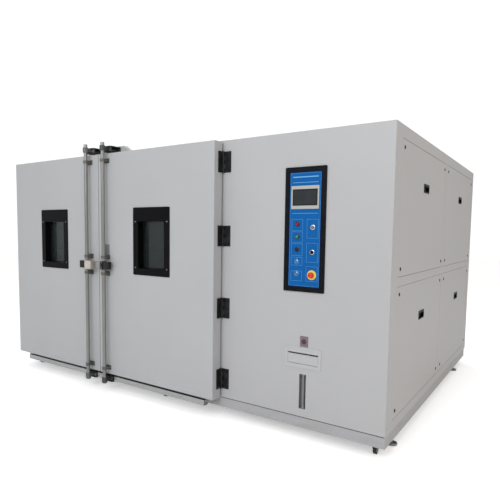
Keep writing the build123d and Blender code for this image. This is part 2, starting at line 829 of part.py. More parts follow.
def flush_grips():
    """Black cups in the side panels, to lift them off by."""
    grips = []
    for opening in side_rows():
        y, z = side_grip_centre(opening)
        hy, hz = grip_width / 2, grip_opening_height / 2
        b = grip_border / 2
        flange = block(x_right, x_right + grip_flange, y - hy, y + hy, z - hz, z + hz)
        flange = fillet(flange.edges().filter_by(Axis.X), 9)
        cup = block(x_right - grip_depth, x_right, y - hy + b, y + hy - b, z - hz + b, z + hz - b)
        body = flange + cup
        b = grip_border
        body -= block(x_right - grip_depth + 2, x_right + grip_flange + 1, y - hy + b, y + hy - b, z - hz + b,
                      z + hz - b - 10)
        grips.append(body)
    return grips


control_x = x_right - control_centre_in
control_z = base + control_centre_height
filler_x = x_right - filler_centre_in
filler_z = base + filler_centre_height
gauge_x = x_right - gauge_centre_in
gauge_z = base + gauge_centre_height


def front_panel():
    """The cabinet's front sheet with returned edges, cut out for the control panel, filler and gauge."""
    panel = block(x_seam, x_right, front, front + skin_depth, body_floor, top)
    panel = fillet(panel.faces().sort_by(Axis.Y)[0].edges(), sheet)
    panel -= block(x_seam + sheet, x_right - sheet, front + sheet, front + skin_depth + 1, body_floor + sheet,
                   top - sheet)
    half = control_border / 2
    cuts = ((control_x, control_z, control_width / 2 - half, control_height / 2 - half),
            (filler_x, filler_z, filler_width / 2 - filler_top_border / 2,
             filler_height / 2 - filler_top_border / 2),
            (gauge_x, gauge_z, gauge_width / 2, gauge_height / 2))
    for x, z, hx, hz in cuts:
        panel -= block(x - hx, x + hx, front - 1, front + sheet + 1, z - hz, z + hz)
    return panel


def roof_panel():
    """The cabinet's roof sheet, between the front and back panels."""
    y0, y1 = front + skin_depth, back - skin_depth
    roof = block(x_seam, x_right - skin_depth, y0, y1, top - skin_depth, top)
    return roof - block(x_seam + sheet, x_right - skin_depth - sheet, y0 + sheet, y1 - sheet,
                        top - skin_depth - 1, top - sheet)


def back_panel():
    """The cabinet's back sheet, with a bank of louvres in front of the condenser."""
    panel = block(x_seam, x_right, back - skin_depth, back, body_floor, top)
    panel = fillet(panel.faces().sort_by(Axis.Y)[-1].edges(), sheet)
    panel -= block(x_seam + sheet, x_right - sheet, back - skin_depth - 1, back - sheet, body_floor + sheet,
                   top - sheet)
    middle = (x_seam + x_right) / 2
    for column in (-1, 1):
        x = middle + column * (louvre_length / 2 + louvre_from_middle)
        for n in range(louvre_count):
            z = body_floor + louvre_rise + n * louvre_pitch
            panel -= block(x - louvre_length / 2, x + louvre_length / 2, back - sheet - 1, back + 1, z,
                           z + louvre_height)
    return panel


# Control panel

fascia_front = front - control_proud + fascia_sink
control_columns = (control_x - left_column, control_x + right_column)


def fascia_frame():
    hx, hz = control_width / 2, control_height / 2
    ring = block(control_x - hx, control_x + hx, front - control_proud, front, control_z - hz, control_z + hz)
    ring = fillet(ring.edges().filter_by(Axis.Y), 6)
    ring = fillet(ring.faces().sort_by(Axis.Y)[0].edges(), 2)
    b = control_border
    return ring - block(control_x - hx + b, control_x + hx - b, front - control_proud - 1, front + 1,
                        control_z - hz + b, control_z + hz - b)


def control_places():
    """Every device on the plate: x, z and the radius of its hole."""
    left, right = control_columns
    places = [(left, base + z, stem_radius + button_gap) for z in button_heights]
    places += [(left, base + z, lamp_radius) for z in lamp_heights]
    places += [(right, base + z, stem_radius + button_gap) for z in (key_height, selector_height, stop_height)]
    return places


def fascia_plate():
    b = control_border + rest_gap
    hx, hz = control_width / 2 - b, control_height / 2 - b
    plate = block(control_x - hx, control_x + hx, fascia_front, fascia_front + fascia_thickness, control_z - hz,
                  control_z + hz)
    for x, z, radius in control_places():
        plate -= rod_y(x, z, front - 20, front + 20, radius)
    sx, sz = screen_width / 2 - 8, screen_height / 2 - 8
    z = base + screen_centre_height
    return plate - block(control_x - sx, control_x + sx, fascia_front - 1, front + 1, z - sz, z + sz)


def touch_screen():
    """The bezel with its sunk glass, and the housing behind the plate."""
    z = base + screen_centre_height
    hx, hz = screen_width / 2, screen_height / 2
    bezel = block(control_x - hx, control_x + hx, fascia_front - screen_proud, fascia_front, z - hz, z + hz)
    bezel = fillet(bezel.edges().filter_by(Axis.Y), 5)
    bezel += block(control_x - hx + 9, control_x + hx - 9, fascia_front, fascia_front + 40, z - hz + 9, z + hz - 9)
    gx, gz = hx - glass_margin_side, hz - glass_margin_top
    return bezel - block(control_x - gx, control_x + gx, fascia_front - screen_proud - 1,
                         fascia_front - screen_proud + screen_sink, z - gz, z + gz)


def control_bezels():
    """Rings round the buttons and switches, the two lamps, and the yellow plate under the emergency stop."""
    left, right = control_columns
    parts = []
    for x, z in [(left, z) for z in button_heights] + [(right, key_height), (right, selector_height)]:
        ring = rod_y(x, base + z, fascia_front - bezel_height, fascia_front, bezel_radius)
        parts.append(ring - rod_y(x, base + z, fascia_front - 20, fascia_front + 20, button_radius + button_gap))
    for z in lamp_heights:
        lens = rod_y(left, base + z, fascia_front - bezel_height, fascia_front, lamp_radius + 2)
        parts.append(lens + rod_y(left, base + z, fascia_front, fascia_front + 20, lamp_radius))
    ring = rod_y(right, base + stop_height, fascia_front - stop_ring_thickness, fascia_front, stop_ring_radius)
    parts.append(ring - rod_y(right, base + stop_height, fascia_front - 20, fascia_front + 20,
                              stem_radius + button_gap))
    return parts


def push_button(z):
    """A flat cap that sinks into its ring, on a stem through the plate."""
    x = control_columns[0]
    cap = rod_y(x, z, fascia_front - button_height, fascia_front - button_travel - button_gap, button_radius)
    cap = fillet(cap.faces().sort_by(Axis.Y)[0].edges(), 1)
    return cap + rod_y(x, z, fascia_front - button_travel - 1, fascia_front + stem_length, stem_radius)


def key_switch():
    x, z = control_columns[1], base + key_height
    barrel = rod_y(x, z, fascia_front - button_height, fascia_front + stem_length, stem_radius)
    barrel -= block(x - 1.2, x + 1.2, fascia_front - button_height - 1, fascia_front - 4, z - 5, z + 5)
    return barrel


def selector_knob():
    x, z = control_columns[1], base + selector_height
    disc = rod_y(x, z, fascia_front - 6, fascia_front - button_gap, button_radius - button_gap)
    grip = block(x - selector_width / 2, x + selector_width / 2, fascia_front - 6 - selector_depth,
                 fascia_front - 5, z - selector_length / 2, z + selector_length / 2)
    grip = fillet(grip.edges().filter_by(Axis.Y), 3)
    return disc + grip + rod_y(x, z, fascia_front - 5, fascia_front + stem_length, stem_radius)


def emergency_stop():
    """A mushroom head on a neck."""
    x, z = control_columns[1], base + stop_height
    root = fascia_front - stop_ring_thickness - stop_travel - button_gap
    head = rod_y(x, z, root - stop_depth, root, stop_radius)
    head = fillet(head.faces().sort_by(Axis.Y)[0].edges(), 8)
    head = fillet(head.faces().sort_by(Axis.Y)[-1].edges(), 3)
    return head + rod_y(x, z, root - 1, fascia_front + stem_length, stem_radius)


# Water filler, level gauge and tank

filler_open_x = filler_width / 2 - filler_border
filler_open_low = filler_z - filler_height / 2 + filler_bottom_border
filler_open_high = filler_z + filler_height / 2 - filler_top_border
flap_axis_z = filler_open_low + flap_pin_boss
flap_axis_y = front + flap_pin_boss - filler_proud
flap_front = front - filler_proud + flap_sink


def filler_frame():
    """The frame with its fixed strip, the pocket behind it, the filling neck, and pins for the flap."""
    hx, hz = filler_width / 2, filler_height / 2
    w = filler_wall
    y1 = front + filler_pocket
    frame = block(filler_x - hx, filler_x + hx, front - filler_proud, front, filler_z - hz, filler_z + hz)
    frame = fillet(frame.edges().filter_by(Axis.Y), 4)
    frame = fillet(frame.faces().sort_by(Axis.Y)[0].edges(), 1.5)
    frame += block(filler_x - filler_open_x - w, filler_x + filler_open_x + w, front, y1, filler_open_low - w,
                   filler_open_high + w)
    frame -= block(filler_x - filler_open_x, filler_x + filler_open_x, front - filler_proud - 1, y1 - w,
                   filler_open_low, filler_open_high)
    frame += block(filler_x - filler_open_x, filler_x + filler_open_x, flap_front, flap_front + flap_thickness,
                   filler_open_high - filler_bar, filler_open_high)
    frame += rod_y(filler_x, filler_z, y1 - neck_length, y1, neck_radius)
    frame -= rod_y(filler_x, filler_z, y1 - neck_length - 1, y1 + 1, neck_bore)
    for side in (-1, 1):
        x0, x1 = sorted((filler_x + side * (filler_open_x + 1), filler_x + side * (filler_open_x - flap_pin_length)))
        frame += rod_x(flap_axis_y, flap_axis_z, x0, x1, flap_pin_radius)
    return frame


def filler_flap():
    """A flap hinged at its foot. Its top edge stands a slot below the fixed strip and rolls outward a little."""
    hx = filler_open_x - flap_gap
    z1 = filler_open_high - filler_bar - filler_slot
    flap = block(filler_x - hx, filler_x + hx, flap_front, flap_front + flap_thickness, flap_axis_z, z1)
    flap += rod_x(flap_front + 1, z1 - flap_lip, filler_x - hx, filler_x + hx, flap_lip)
    flap += rod_x(flap_axis_y, flap_axis_z, filler_x - hx, filler_x + hx, flap_pin_boss - flap_gap)
    for side in (-1, 1):
        x0, x1 = sorted((filler_x + side * (hx + 1), filler_x + side * (hx - flap_pin_length)))
        flap -= rod_x(flap_axis_y, flap_axis_z, x0, x1, flap_pin_radius + running_gap)
    return flap


def level_gauge():
    """A folded recess behind the slot in the front, and a sight tube between two fittings."""
    hx, hz = gauge_width / 2, gauge_height / 2
    w = gauge_wall
    y0, y1 = front + sheet, front + gauge_depth
    recess = block(gauge_x - hx - w, gauge_x + hx + w, y0, y1, gauge_z - hz - w, gauge_z + hz + w)
    recess -= block(gauge_x - hx, gauge_x + hx, y0 - 1, y1 - w, gauge_z - hz, gauge_z + hz)
    y = (front + y1) / 2
    recess += rod(gauge_x, y, gauge_z - hz, gauge_z + hz, gauge_tube_radius)
    for z in (gauge_z - hz, gauge_z + hz - gauge_fitting):
        recess += block(gauge_x - gauge_fitting, gauge_x + gauge_fitting, y - gauge_fitting / 2, y1 - w, z,
                        z + gauge_fitting)
    return recess


def water_tank():
    """A tank on the base frame, with an inlet pipe from the filler neck."""
    x0, x1 = filler_x - tank_width / 2, filler_x + tank_width / 2
    y0 = front + filler_pocket + 20
    z0, z1 = base + tank_bottom, base + tank_top
    body = fillet(block(x0, x1, y0, y0 + tank_depth, z0, z1).edges().filter_by(Axis.Z), 25)
    w = tank_wall
    body -= fillet(block(x0 + w, x1 - w, y0 + w, y0 + tank_depth - w, z0 + w, z1 - w).edges().filter_by(Axis.Z), 20)
    stand = block(x0 + 30, x1 - 30, y0 + 30, y0 + tank_depth - 30, body_floor, z0)
    stand -= block(x0 + 34, x1 - 34, y0 + 34, y0 + tank_depth - 34, body_floor - 1, z0 - 4)
    elbow = rod_y(filler_x, filler_z, front + filler_pocket, y0 + 60, neck_bore + 2)
    elbow += rod(filler_x, y0 + 60, z1 - w, filler_z, neck_bore + 2)
    elbow += Pos(filler_x, y0 + 60, filler_z) * Sphere(neck_bore + 2)
    return body + stand, elbow


# Air duct, fans and coil

def air_duct():
    """A folded stainless panel with two fan rings and a row of return slots, closed towards the doors."""
    x0, x1 = duct_x, x_seam - panel_thickness - liner_thickness
    y0, y1 = front + duct_front_in, back - panel_thickness - liner_thickness
    z0, z1 = room_floor + liner_thickness, room_roof - liner_thickness
    duct = block(x0, x1, y0, y1, z0, z1) - block(x0 + duct_sheet, x1 + 1, y0 + duct_sheet, y1 + 1, z0 - 1, z1 + 1)
    for y in fan_y:
        duct += rod_x(y, fan_z, x0, x0 + fan_ring_depth, fan_radius + fan_tip_gap + fan_ring)
        duct -= rod_x(y, fan_z, x0 - 1, x0 + fan_ring_depth + 1, fan_radius + fan_tip_gap)
    pitch = (y1 - y0) / slot_count
    for n in range(slot_count):
        y = y0 + pitch * (n + 0.5)
        for row in (0, 1, 2):
            z = z0 + 60 + row * slot_height * 2
            duct -= block(x0 - 1, x0 + duct_sheet + 1, y - slot_length / 2, y + slot_length / 2, z, z + slot_height)
    return duct


def circulation_fan(y):
    """A pressed hub with flat pitched blades, on the shaft that comes through the partition."""
    x = duct_x + fan_ring_depth / 2
    hub = rod_x(y, fan_z, x - fan_hub_length / 2, x + fan_hub_length / 2, fan_hub_radius)
    hub = fillet(hub.edges().filter_by(GeomType.CIRCLE), 6)
    span = fan_radius - fan_hub_radius + 10
    fan = hub
    for n in range(fan_blades):
        blade = Pos(0, 0, fan_hub_radius - 10 + span / 2) * Rot(0, 0, 32) * Box(5, 110, span)
        fan += Pos(x, y, fan_z) * Rot(360 * n / fan_blades, 0, 0) * blade
    fan &= rod_x(y, fan_z, x - 100, x + 100, fan_radius)
    return fan + rod_x(y, fan_z, x, x_seam + motor_gap + motor_length / 2, shaft_radius)


def coil_unit():
    """Finned cooling coil between two end plates, with heater rods before it."""
    x0 = duct_x + 90
    x1 = x0 + coil_depth
    y0, y1 = front + duct_front_in + 200, back - panel_thickness - 260
    z0 = room_floor + liner_thickness
    z1 = z0 + coil_height
    unit = block(x0, x1, y0, y0 + coil_end_plate, z0, z1) + block(x0, x1, y1 - coil_end_plate, y1, z0, z1)
    parts = []
    pitch = (y1 - y0) / (coil_fins + 1)
    for n in range(coil_rows):
        z = z0 + 200 + n * (coil_height - 260) / (coil_rows - 1)
        for x in (x0 + coil_depth * 0.3, x0 + coil_depth * 0.7):
            unit += rod_y(x, z, y0 - 20, y1 + 20, coil_tube_radius)
    for n in range(coil_fins):
        y = y0 + pitch * (n + 1)
        unit += block(x0 + 8, x1 - 8, y - coil_fin / 2, y + coil_fin / 2, z0 + 140, z1 - 8)
    parts.append(unit)
    return parts


# Machinery behind the cabinet's panels

def refrigeration_unit():
    """Two compressors and a receiver on a tray, a condenser behind the louvres, and the two fan motors."""
    middle = (x_seam + x_right) / 2
    tray_x0, tray_x1 = x_seam + tray_side_in, x_right - tray_side_in
    tray_y0, tray_y1 = front + tray_front_in, back - tray_rear_in
    tray_z = body_floor + tray_leg
    floor_z = tray_z + tray_thickness
    tray = block(tray_x0, tray_x1, tray_y0, tray_y1, tray_z, floor_z)
    for x in (tray_x0, tray_x1 - tray_leg):
        tray += block(x, x + tray_leg, tray_y0, tray_y1, body_floor, tray_z)
    parts = [tray]
    for n in (0, 1):
        x, y = middle - compressor_from_middle, tray_y0 + compressor_from_front + n * compressor_pitch
        z1, w = floor_z + compressor_height, compressor_wall
        shell = fillet(rod(x, y, floor_z, z1, compressor_radius).faces().sort_by(Axis.Z)[-1].edges(), 50)
        core = fillet(rod(x, y, floor_z + w, z1 - w, compressor_radius - w).faces().sort_by(Axis.Z)[-1].edges(), 40)
        parts.append(shell - core)
    x, z, w = tray_x1 - receiver_from_side, floor_z + receiver_radius, receiver_wall
    y0 = tray_y0 + receiver_from_front
    y1 = y0 + receiver_length
    parts.append(rod_y(x, z, y0, y1, receiver_radius) - rod_y(x, z, y0 + w, y1 - w, receiver_radius - w))
    y1 = back - condenser_rear_in
    z0 = body_floor + condenser_rise
    x0, x1 = middle - condenser_width / 2, middle + condenser_width / 2
    coil = hollow(x0, x1, y1 - condenser_depth, y1, z0, z0 + condenser_height, condenser_wall)
    for x in (x0, x1 - condenser_leg):
        coil += block(x, x + condenser_leg, y1 - 40, y1, body_floor, z0 + 1)
    parts.append(coil)
    for y in fan_y:
        motor = rod_x(y, fan_z, x_seam + motor_gap, x_seam + motor_gap + motor_length, motor_radius)
        motor = fillet(motor.edges().filter_by(GeomType.CIRCLE), 8)
        half = motor_foot / 2
        motor += block(x_seam, x_seam + motor_gap + 20, y - half, y + half, fan_z - half, fan_z + half)
        parts.append(motor - rod_x(y, fan_z, x_seam - 1, x_seam + motor_gap + motor_length / 2 + 1,
                                   shaft_radius + running_gap))
    return parts


def electrical_box():
    """The switch box behind the control panel, hung on the front of the tube frame."""
    x0 = control_x - electrical_width / 2
    y0 = front + skin_depth + tube
    z0 = control_z - electrical_height / 2
    box = hollow(x0, x0 + electrical_width, y0, y0 + electrical_depth, z0, z0 + electrical_height, sheet)
    z_rail = top - skin_depth - tube
    for x in (x0 + 60, x0 + electrical_width - 100):
        box += block(x, x + 40, y0, y0 + 6, z0 + electrical_height - 1, z_rail + tube)
    return box


def main():
    os.makedirs("parts", exist_ok=True)
    save("base_frame", base_frame())
    save("caster_brackets", *caster_brackets())
    for name, x in caster_x.items():
        y_front, y_rear = front + caster_front_in, back - caster_rear_in
        save(f"caster_fork_{name}", swivel_fork(x, y_front))
        save(f"caster_wheel_front_{name}", wheel(x, y_front + caster_trail))
        save(f"caster_wheel_rear_{name}", wheel(x, y_rear))
    for name_y, y in foot_y.items():
        for name_x, x in foot_x.items():
            save(f"levelling_foot_{name_y}_{name_x}", levelling_foot(x, y))

    save("room_panels", *room_panels())
    save("room_liner", room_liner())
    save("door_frame", *door_frame())
    save("drip_channel", *drip_channel())
    save("frame_fittings", *keepers(), *hinges("left", "fixed"), *hinges("right", "fixed"))
    for side, span in leaf_spans.items():
        save(f"{side}_door", door_leaf(span))
        save(f"{side}_door_gasket", *gasket(span, side))
        save(f"{side}_window_frame", *window_frame(span))
        save(f"{side}_window_glass", window_glass(span))
        save(f"{side}_door_fittings", *hinges(side, "door"), *bar_guides(side))
        save(f"{side}_lock_bar", *lock_bar(side))
    save("left_lock_case", *left_lock_case())
    save("right_lock_case", *right_lock_case())

    save("cabinet_frame", *cabinet_frame())
    save("cabinet_front_panel", front_panel())
    save("cabinet_roof", roof_panel())
    save("cabinet_back_panel", back_panel())
    save("side_panels", *side_panels())
    save("flush_grips", *flush_grips())
    save("fascia_frame", fascia_frame())
    save("fascia_plate", fascia_plate())
    save("touch_screen", touch_screen())
    save("control_bezels", *control_bezels())
    for name, z in zip(("stop_button", "start_button", "reset_button"), button_heights):
        save(name, push_button(base + z))
    save("key_switch", key_switch())
    save("selector_knob", selector_knob())
    save("emergency_stop", emergency_stop())
    save("filler_frame", filler_frame())
    save("filler_flap", filler_flap())
    save("level_gauge", level_gauge())
    save("water_tank", *water_tank())

    save("air_duct", air_duct())
    save("circulation_fan_front", circulation_fan(fan_y[0]))
    save("circulation_fan_rear", circulation_fan(fan_y[1]))
    save("coil_unit", *coil_unit())
    save("refrigeration_unit", *refrigeration_unit())
    save("electrical_box", electrical_box())


main()
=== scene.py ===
# %% [markdown]
# # A walk-in environmental test chamber
# The real object is a room of insulated panels with two door leaves, and a machine cabinet that shares its front.
# Its solids come from a CAD model, and this script dresses them: paint, steel, glass, printing, screws and light.
# Each piece is made where the CAD model says it is, so nothing has to be fitted by eye.

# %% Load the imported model
import math

import bmesh
import bpy
from mathutils import Matrix, Vector


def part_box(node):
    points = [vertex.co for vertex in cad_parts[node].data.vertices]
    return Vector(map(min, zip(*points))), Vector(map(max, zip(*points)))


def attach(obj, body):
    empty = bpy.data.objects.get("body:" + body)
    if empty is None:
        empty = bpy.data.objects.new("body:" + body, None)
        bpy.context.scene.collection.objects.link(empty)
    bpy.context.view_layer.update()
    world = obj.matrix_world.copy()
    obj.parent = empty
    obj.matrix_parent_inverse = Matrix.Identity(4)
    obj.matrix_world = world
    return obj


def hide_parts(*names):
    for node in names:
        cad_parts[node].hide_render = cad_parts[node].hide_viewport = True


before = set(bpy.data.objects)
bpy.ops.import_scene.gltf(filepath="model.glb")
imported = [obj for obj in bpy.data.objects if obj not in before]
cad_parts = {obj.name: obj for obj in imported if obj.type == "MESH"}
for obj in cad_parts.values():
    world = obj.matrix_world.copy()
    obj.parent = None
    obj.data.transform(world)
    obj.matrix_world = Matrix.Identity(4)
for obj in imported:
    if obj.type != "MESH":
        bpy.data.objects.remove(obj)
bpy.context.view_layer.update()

# %% [markdown]
# Most places are read from the solids: the front plane, the seam between doors and cabinet, the floor of the body.
# Sizes that the solids don't carry, such as how far a screw is from an edge, are named where they are first needed.

# %% Places that everything else is measured from


def node_box(name):
    """A node's lowest and highest corner as vectors."""
    low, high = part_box(name)
    return Vector(low), Vector(high)


def node_middle(name):
    """The middle of a node's box."""
    low, high = node_box(name)
    return (low + high) / 2


cabinet_low, cabinet_high = node_box("cabinet_front_panel")
left_low, left_high = node_box("left_door")
right_low, right_high = node_box("right_door")
LEFT = left_low.x
SEAM = cabinet_low.x  # between the right leaf and the cabinet
RIGHT = cabinet_high.x
MIDDLE = (left_high.x + right_low.x) / 2  # between the two leaves
FACE = right_low.y  # the front of the leaves
FRONT = cabinet_low.y
BACK = node_box("cabinet_back_panel")[1].y
BASE = node_box("base_frame")[0].z
BODY_FLOOR = cabinet_low.z
TOP = cabinet_high.z
print(f"front {FRONT:.3f}, seam {SEAM:.3f}, between the leaves {MIDDLE:.3f}, top {TOP:.3f}")

# %% [markdown]
# ## Mesh helpers
# Every new piece starts as a bmesh. A pressed or cast part is a block with its edges bevelled, a turned part is a
# profile spun about its axis, and a printed line is a thin frame: a rectangle inset, its middle taken out.

# %% Helpers for blocks, turned parts and thin frames
SMOOTH_BELOW = math.radians(35)
TURNS = {"X": Matrix.Rotation(math.pi / 2, 3, "Y"), "-X": Matrix.Rotation(-math.pi / 2, 3, "Y"),
         "Y": Matrix.Rotation(-math.pi / 2, 3, "X"), "-Y": Matrix.Rotation(math.pi / 2, 3, "X")}


def add_block(bm, low, high, bevel=0.0, segments=2):
    """A box between two corners, with all edges bevelled."""
    low, high = Vector(low), Vector(high)
    verts = bmesh.ops.create_cube(bm, size=1.0)["verts"]
    bmesh.ops.scale(bm, vec=high - low, verts=verts)
    bmesh.ops.translate(bm, vec=(low + high) / 2, verts=verts)
    if bevel:
        edges = list({edge for vert in verts for edge in vert.link_edges})
        bmesh.ops.bevel(bm, geom=edges, offset=bevel, segments=segments, profile=0.5, affect="EDGES", material=-1)


def add_turned(bm, profile, place, axis, steps=24):
    """Spins a profile of (radius, height) pairs about its own axis, then points that axis along X or Y."""
    verts = [bm.verts.new((radius, 0, height)) for radius, height in profile]
    edges = [bm.edges.new(pair) for pair in zip(verts, verts[1:])]
    spun = bmesh.ops.spin(bm, geom=verts + edges, cent=(0, 0, 0), axis=(0, 0, 1), angle=math.tau, steps=steps,
                          use_merge=True)
    made = set(verts) | {part for part in spun["geom_last"] if isinstance(part, bmesh.types.BMVert)}
    queue = list(made)
    while queue:
        for edge in queue.pop().link_edges:
            fresh = [vert for vert in edge.verts if vert not in made]
            made.update(fresh)
            queue.extend(fresh)
    bmesh.ops.transform(bm, matrix=Matrix.Translation(place) @ TURNS[axis].to_4x4(), verts=list(made))


def add_line_frame(bm, x0, x1, z0, z1, y, width, depth):
    """A thin rectangular outline on a plane that faces -Y."""
    verts = [bm.verts.new(p) for p in ((x0, y, z0), (x1, y, z0), (x1, y, z1), (x0, y, z1))]
    face = bm.faces.new(verts)
    face.normal_update()
    rim = bmesh.ops.inset_region(bm, faces=[face], thickness=width, depth=0, use_boundary=True)["faces"]
    bmesh.ops.delete(bm, geom=[face], context="FACES")
    top = bmesh.ops.extrude_face_region(bm, geom=rim)["geom"]
    bmesh.ops.translate(bm, vec=(0, -depth, 0), verts=[part for part in top if isinstance(part, bmesh.types.BMVert)])


def add_bolt(bm, place, axis, radius, height):
    """A plain hexagon head, without any mark on it."""
    add_turned(bm, [(radius, 0.0), (radius, height * 0.8), (radius * 0.86, height), (0.0, height)], place, axis, 6)


def add_ring(bm, place, axis, radius, wire, steps=40):
    """A round wire bent to a ring."""
    loop = [(radius + wire * math.cos(a), wire * math.sin(a)) for a in (math.tau * n / 6 for n in range(7))]
    add_turned(bm, loop, place, axis, steps)


def finish_piece(name, bm, material, body):
    """Welds the mesh, points its faces outwards and hands it over as a piece that rides on a body."""
    bmesh.ops.remove_doubles(bm, verts=bm.verts, dist=1e-6)
    bmesh.ops.recalc_face_normals(bm, faces=bm.faces)
    mesh = bpy.data.meshes.new(name)
    bm.to_mesh(mesh)
    bm.free()
    piece = bpy.data.objects.new(name, mesh)
    bpy.context.scene.collection.objects.link(piece)
    mesh.materials.append(material)
    for polygon in mesh.polygons:
        polygon.use_smooth = True
    mesh.set_sharp_from_angle(angle=SMOOTH_BELOW)
    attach(piece, body)
    print(f"{name}: {len(mesh.polygons)} faces")
    return piece


# %% [markdown]
# ## Finishes
# Three effects are shared by many finishes, so each is a shader node group with its own named inputs: the orange
# peel of powder paint with the dust that gathers low down, the fine scratches of brushed steel, and the grain of
# moulded plastic. They read Object coordinates, so a pattern stays on its piece when a door opens.

# %% Shader nodes in short
FINISH_OUTPUTS = (("Colour", "NodeSocketColor"), ("Roughness", "NodeSocketFloat"), ("Height", "NodeSocketFloat"))


def start_group(name, inputs):
    """An empty group with its sockets made. Every group gives a colour, a roughness and a height."""
    group = bpy.data.node_groups.new(name, "ShaderNodeTree")
    for label, kind, value in inputs:
        socket = group.interface.new_socket(name=label, in_out="INPUT", socket_type=kind)
        socket.default_value = value
    for label, kind in FINISH_OUTPUTS:
        group.interface.new_socket(name=label, in_out="OUTPUT", socket_type=kind)
    return group, group.nodes.new("NodeGroupInput").outputs


def put_out(group, **values):
    """Links the values that a group gives to its output node."""
    out = group.nodes.new("NodeGroupOutput")
    for label, value in values.items():
        group.links.new(value, out.inputs[label])


def feed(tree, socket, value):
    """Links an output to a socket, or sets the socket's own value."""
    if isinstance(value, bpy.types.NodeSocket):
        tree.links.new(value, socket)
    else:
        socket.default_value = value


def add(tree, kind, settings=None, **links):
    """A node with settings, and with its inputs linked or set by name or number (spaces are underscores)."""
    node = tree.nodes.new(kind)
    for key, value in (settings or {}).items():
        setattr(node, key, value)
    for key, value in links.items():
        numbered = key[0] == "n" and key[1:].isdigit()
        feed(tree, node.inputs[int(key[1:]) if numbered else key.replace("_", " ")], value)
    return node


def math_node(tree, operation, a, b=0.0, clamp=False):
    return add(tree, "ShaderNodeMath", {"operation": operation, "use_clamp": clamp}, n0=a, n1=b).outputs[0]


def mix_colour(tree, factor, a, b, blend="MIX"):
    return add(tree, "ShaderNodeMix", {"data_type": "RGBA", "blend_type": blend}, n0=factor, n6=a, n7=b).outputs[2]


def mixed_value(tree, factor, a, b):
    """A plain number between a and b."""
    return math_node(tree, "ADD", math_node(tree, "MULTIPLY", math_node(tree, "SUBTRACT", 1.0, factor), a),
                     math_node(tree, "MULTIPLY", factor, b))


def object_point(tree):
    return tree.nodes.new("ShaderNodeTexCoord").outputs["Object"]


def noise(tree, point, scale, detail=2.0, roughness=0.5):
    return add(tree, "ShaderNodeTexNoise", Vector=point, Scale=scale, Detail=detail,
               Roughness=roughness).outputs[0]


def stretched(tree, scale):
    return add(tree, "ShaderNodeMapping", Vector=object_point(tree), Scale=scale).outputs[0]


def fit(tree, value, low, high, to_low=0.0, to_high=1.0):
    return add(tree, "ShaderNodeMapRange", {"clamp": True}, Value=value, From_Min=low, From_Max=high,
               To_Min=to_low, To_Max=to_high).outputs[0]


# %% [markdown]
# Each group below starts from one or two noises at the size of the real effect. Their range is fitted to a small
# change of shade or gloss, because on a clean machine these effects are only just seen.

# %% Shader node groups that the finishes share
DUST = (0.30, 0.27, 0.23, 1)
LIGHT_DUST = (0.45, 0.44, 0.42, 1)


def paint_group():
    """Powder paint: a fine orange peel, a faint cloudiness, and dust and scuffs towards the floor."""
    group, given = start_group("powder_paint", [
        ("Colour", "NodeSocketColor", (0.8, 0.8, 0.8, 1)), ("Dirt", "NodeSocketFloat", 0.3),
        ("Gloss", "NodeSocketFloat", 0.42)])
    point = object_point(group)
    cloud = noise(group, point, 1.3, 3.0)
    peel = noise(group, point, 420.0, 0.0)
    height = add(group, "ShaderNodeSeparateXYZ", Vector=point).outputs[2]
    low_down = fit(group, height, 0.55, 0.05)
    specks = fit(group, noise(group, point, 38.0, 6.0, 0.7), 0.52, 0.68)
    smears = fit(group, noise(group, stretched(group, (3.0, 3.0, 14.0)), 1.0, 4.0), 0.5, 0.8)
    marks = math_node(group, "ADD", math_node(group, "MULTIPLY", specks, 0.5), smears)
    dust = math_node(group, "MULTIPLY", math_node(group, "MULTIPLY", marks, low_down), given["Dirt"], clamp=True)
    shade = fit(group, cloud, 0.3, 0.7, 0.965, 1.0)
    grey = add(group, "ShaderNodeCombineColor", Red=shade, Green=shade, Blue=shade).outputs[0]
    tinted = mix_colour(group, 1.0, given["Colour"], grey, "MULTIPLY")
    gloss = math_node(group, "ADD", given["Gloss"], fit(group, cloud, 0.3, 0.7, -0.04, 0.05))
    rough = math_node(group, "ADD", gloss, math_node(group, "MULTIPLY", dust, 0.3))
    put_out(group, Colour=mix_colour(group, dust, tinted, DUST), Roughness=rough, Height=peel)
    return group


def brushed_group():
    """Brushed or drawn steel: long scratches along one direction, and slow changes of tone."""
    group, given = start_group("brushed_steel", [
        ("Colour", "NodeSocketColor", (0.6, 0.6, 0.6, 1)), ("Grain", "NodeSocketVector", (800.0, 800.0, 6.0)),
        ("Roughness", "NodeSocketFloat", 0.3), ("Stain", "NodeSocketFloat", 0.1)])
    scaled = add(group, "ShaderNodeVectorMath", {"operation": "MULTIPLY"}, n0=object_point(group),
                 n1=given["Grain"]).outputs[0]
    scratch = noise(group, scaled, 1.0, 2.0, 0.6)
    patches = fit(group, noise(group, object_point(group), 5.0, 4.0), 0.3, 0.7)
    stain = math_node(group, "MULTIPLY", patches, given["Stain"])
    shade = math_node(group, "MULTIPLY", fit(group, scratch, 0.3, 0.7, 0.86, 1.06),
                      math_node(group, "SUBTRACT", 1.0, stain))
    toned = add(group, "ShaderNodeVectorMath", {"operation": "SCALE"}, n0=given["Colour"], Scale=shade).outputs[0]
    rough = math_node(group, "ADD", given["Roughness"], fit(group, scratch, 0.3, 0.7, -0.06, 0.1))
    put_out(group, Colour=toned, Roughness=math_node(group, "ADD", rough, stain), Height=scratch)
    return group


